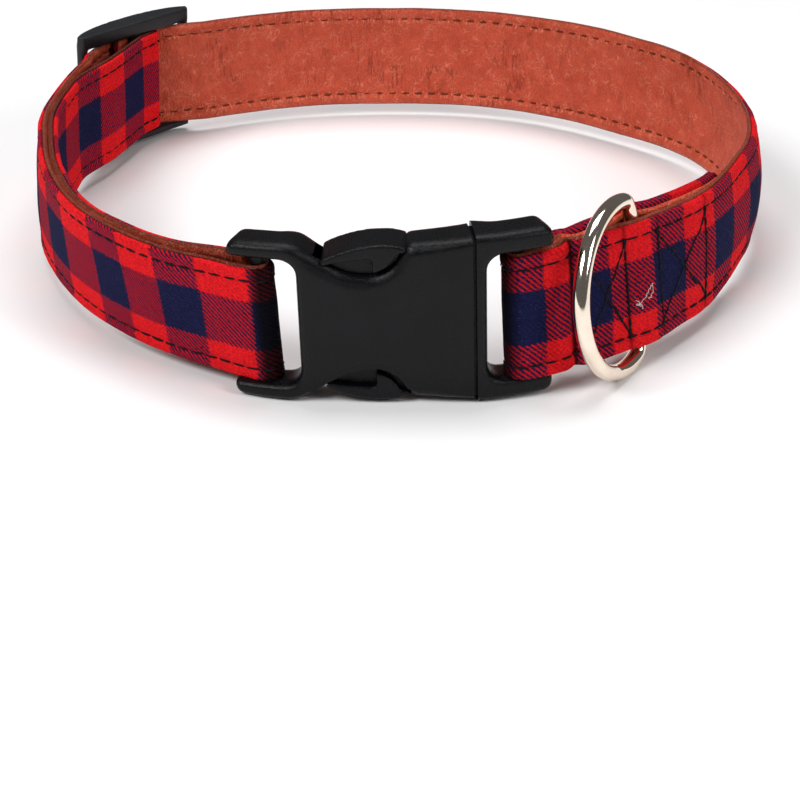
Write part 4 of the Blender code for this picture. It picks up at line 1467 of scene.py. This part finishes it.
def buckle_prongs():
    start = SEAM + SEAM_WIDTH
    top = half_height(start)
    upper = [*rail_corners(1, PRONG_SLOT), (start - CUT_SPARE, top)]
    base = rounded_plate("prong_base", mirrored(upper), BUCKLE_DEPTH, RIM_ROUND)
    before = box_outline(start - 2 * CUT_SPARE, start, -BUCKLE_HEIGHT, BUCKLE_HEIGHT)
    cut = plate("prong_cut", before, 2 * BUCKLE_DEPTH)
    combine(base, [cut], "DIFFERENCE")
    frozen(base)
    tongue = box_outline(TONGUE_START, start + 2 * MM, -TONGUE_HALF, TONGUE_HALF, TONGUE_CORNER)
    inside = BUCKLE_DEPTH - 2 * BUCKLE_WALL - 2 * FIT
    adds = [strap_bar("prong_bar", BAR_RIGHT), plate("prong_tongue", tongue, inside)]
    seam_floor = box_outline(SEAM + 0.05 * MM, start + MM, SEAM_FLOOR_IN - top, top - SEAM_FLOOR_IN)
    adds.append(plate("seam_floor", seam_floor, BUCKLE_DEPTH - 2 * SEAM_FLOOR_IN))
    for side in (-1, 1):
        adds += [prong_arm(side), prong_head(side)]
    gathered(base, adds)
    bent(base.data)
    return moulded("prong_half", base, PLASTIC)


def slider_rail(side):
    half = SLIDER_LENGTH / 2
    low = STRAP_WIDTH / 2 - side * SLIDER_LIFT + 0.15 * MM
    outline = []
    for index in range(41):
        share = 1 - index / 20
        bulge = SLIDER_BULGE * (1 - share * share)
        outline.append((half * share, SLIDER_DEPTH / 2 * (1 - SLIDER_TAPER * abs(share) ** 6) + bulge))
    outline += [
        (-half, 0.0),
        (SLIDER_CHAMFER - half, -SLIDER_DEPTH / 2),
        (half - SLIDER_CHAMFER, -SLIDER_DEPTH / 2),
        (half, 0.0),
    ]
    rail = plate("slider_rail", outline, SLIDER_HEIGHT / 2 - low, upright=False)
    rail.data.transform(Matrix.Translation((0, 0, side * (SLIDER_HEIGHT / 2 + low) / 2)))
    return rail


def slider():
    base = slider_rail(1)
    places = (-SLIDER_PITCH, 0.0, SLIDER_PITCH)
    adds = [round_bar("slider_bar", place, SLIDER_BAR, SLIDER_HEIGHT - 3.4 * MM) for place in places]
    combine(base, [*adds, slider_rail(-1)], "UNION")
    frozen(base)
    softened(base)
    middle, along, out = slider_frame()
    rise = upright(middle)
    for vert in base.data.vertices:
        plan = middle + vert.co.x * along + vert.co.y * out + vert.co.z * rise
        vert.co = Vector((plan.x, plan.y, middle_height(middle) + SLIDER_LIFT + vert.co.z)) + SHIFT
    gathered(base, [])
    return moulded("strap_slider", base, SLIDER_LOOK)


socket_half = buckle_socket()
prong_half = buckle_prongs()
strap_slider = slider()


# ---- D-ring ----


def ring_axis():
    at = (from_table(REACHES, RING_ANGLE) - RING_IN) * direction(RING_ANGLE)
    rise = upright(at)
    centre = Vector((at.x, at.y, middle_height(at) + RING_LIFT))
    return centre + SHIFT, Vector((rise.x, rise.y, 1.0)).normalized()


def ring_path():
    centre = math.sqrt(RING_RADIUS**2 - RING_HALF_BAR**2)
    corner = math.atan2(RING_HALF_BAR, -centre)
    arc_end = corner - RING_CORNER / RING_RADIUS
    path = []
    for index in range(121):
        turn = arc_end - 2 * arc_end * index / 120
        path.append(Vector((centre + RING_RADIUS * math.cos(turn), RING_RADIUS * math.sin(turn))))
    for index in range(41):
        share = index / 40
        path.append(Vector((0.0, (2 * share - 1) * (RING_HALF_BAR - 1.6 * RING_CORNER))))
    closed = path + path[:1]
    even = spaced(closed, 0.5 * MM)[:-1]
    for _ in range(5):
        count = len(even)
        even = [(even[i - 1] + 2 * even[i] + even[(i + 1) % count]) / 4 for i in range(count)]
    return even


def d_ring():
    """The ring's round wire swept along its path, pinched a little where it is welded."""
    point, up = ring_axis()
    flat = direction(RING_ANGLE - 90 + RING_SWING)
    way = Vector((flat.x, flat.y, 0.0))
    way = (way - way.dot(up) * up).normalized()
    across = way.cross(up).normalized()
    path = ring_path()
    count = len(path)
    body = bmesh.new()
    rings = []
    weld = min(range(count), key=lambda i: (path[i] - Vector((0.62, -0.80)) * 1.25 * RING_RADIUS).length)
    for index, (out, height) in enumerate(path):
        before = path[index - 1]
        after = path[(index + 1) % count]
        ahead = (after - before).normalized()
        side = Vector((ahead.y, -ahead.x))
        here = point + out * way + height * up
        normal = side.x * way + side.y * up
        radius = RING_WIRE / 2 * (1 - 0.045 * valley(index - weld, 0.8))
        rings.append(
            [
                body.verts.new(here + radius * (math.cos(turn) * normal + math.sin(turn) * across))
                for turn in [2 * math.pi * corner / RING_SIDES for corner in range(RING_SIDES)]
            ]
        )
    piece = skinned("leash_ring", body, rings, closed=True)
    piece.data.materials.append(GOLD)
    return piece


leash_ring = d_ring()

for piece in HIDDEN:
    bpy.data.objects.remove(piece, do_unlink=True)
for piece in (long_stitch, short_stitch, leather_stitch, hair):
    bpy.data.objects.remove(piece, do_unlink=True)

for piece, material_slot in (
    (cloth, "plaid_cloth"),
    (leather, "tan_leather"),
    (edge_stitches, "plaid_cloth"),
    (leather_stitches, "tan_leather"),
    (box_stitches, "plaid_cloth"),
    (loose_thread, "plaid_cloth"),
    (socket_half, "black_plastic"),
    (prong_half, "black_plastic"),
    (strap_slider, "black_plastic"),
):
    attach(piece, "collar")
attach(leash_ring, "ring")
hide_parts("strap_cloth")
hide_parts("strap_lining")
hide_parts("buckle_socket")
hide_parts("buckle_prongs")
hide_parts("slider")
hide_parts("d_ring")


# ---- Floor, light and camera ----


def pale_floor():
    material, nodes, shader = new_material("pale_floor")
    place = nodes.add("ShaderNodeTexCoord").outputs["Object"]
    tone = nodes.spread(nodes.noise(place, 0.5, 2.0), 0.3, 0.7)
    colour = nodes.mix(tone, FLOOR_DARK, FLOOR_PALE)
    return dressed(material, nodes, shader, colour, 0.9, 0.1)


floor_mesh = bpy.data.meshes.new("studio_floor")
half = FLOOR_SIZE / 2
floor_mesh.from_pydata([(-half, -half, 0), (half, -half, 0), (half, half, 0), (-half, half, 0)], [], [(0, 1, 2, 3)])
floor_mesh.materials.append(pale_floor())
studio_floor = new_object("studio_floor", floor_mesh)


def soft_light(name, place, size, power):
    light = bpy.data.lights.new(name, "AREA")
    light.shape = "RECTANGLE"
    light.size, light.size_y = size
    light.energy = power
    lamp = new_object(name, light)
    lamp.location = place
    lamp.rotation_euler = (LIGHT_AIM - Vector(place)).to_track_quat("-Z", "Y").to_euler()


for lamp in (
    ("key_softbox", (-0.72, -0.62, 0.95), (0.7, 0.45), 11.0),
    ("fill_softbox", (0.85, -0.55, 0.70), (0.35, 0.6), 4.5),
    ("top_softbox", (0.0, 0.25, 1.10), (0.8, 0.5), 7.0),
):
    soft_light(*lamp)

world = bpy.data.worlds.new("studio")
world.use_nodes = True
backdrop = world.node_tree.nodes["Background"]
backdrop.inputs["Color"].default_value = (1.0, 1.0, 1.0, 1.0)
backdrop.inputs["Strength"].default_value = 0.11
bpy.context.scene.world = world
bpy.context.scene.view_settings.view_transform = "Standard"

camera_data = bpy.data.cameras.new("camera")
camera_data.lens = 87.75
camera_data.sensor_width = 36.0
camera_data.clip_start = 0.01
camera = new_object("camera", camera_data)
camera.location = (0.000246, -0.396819, 0.183906)
camera.rotation_euler = (math.radians(60.38), 0.0, 0.0)
bpy.context.scene.camera = camera
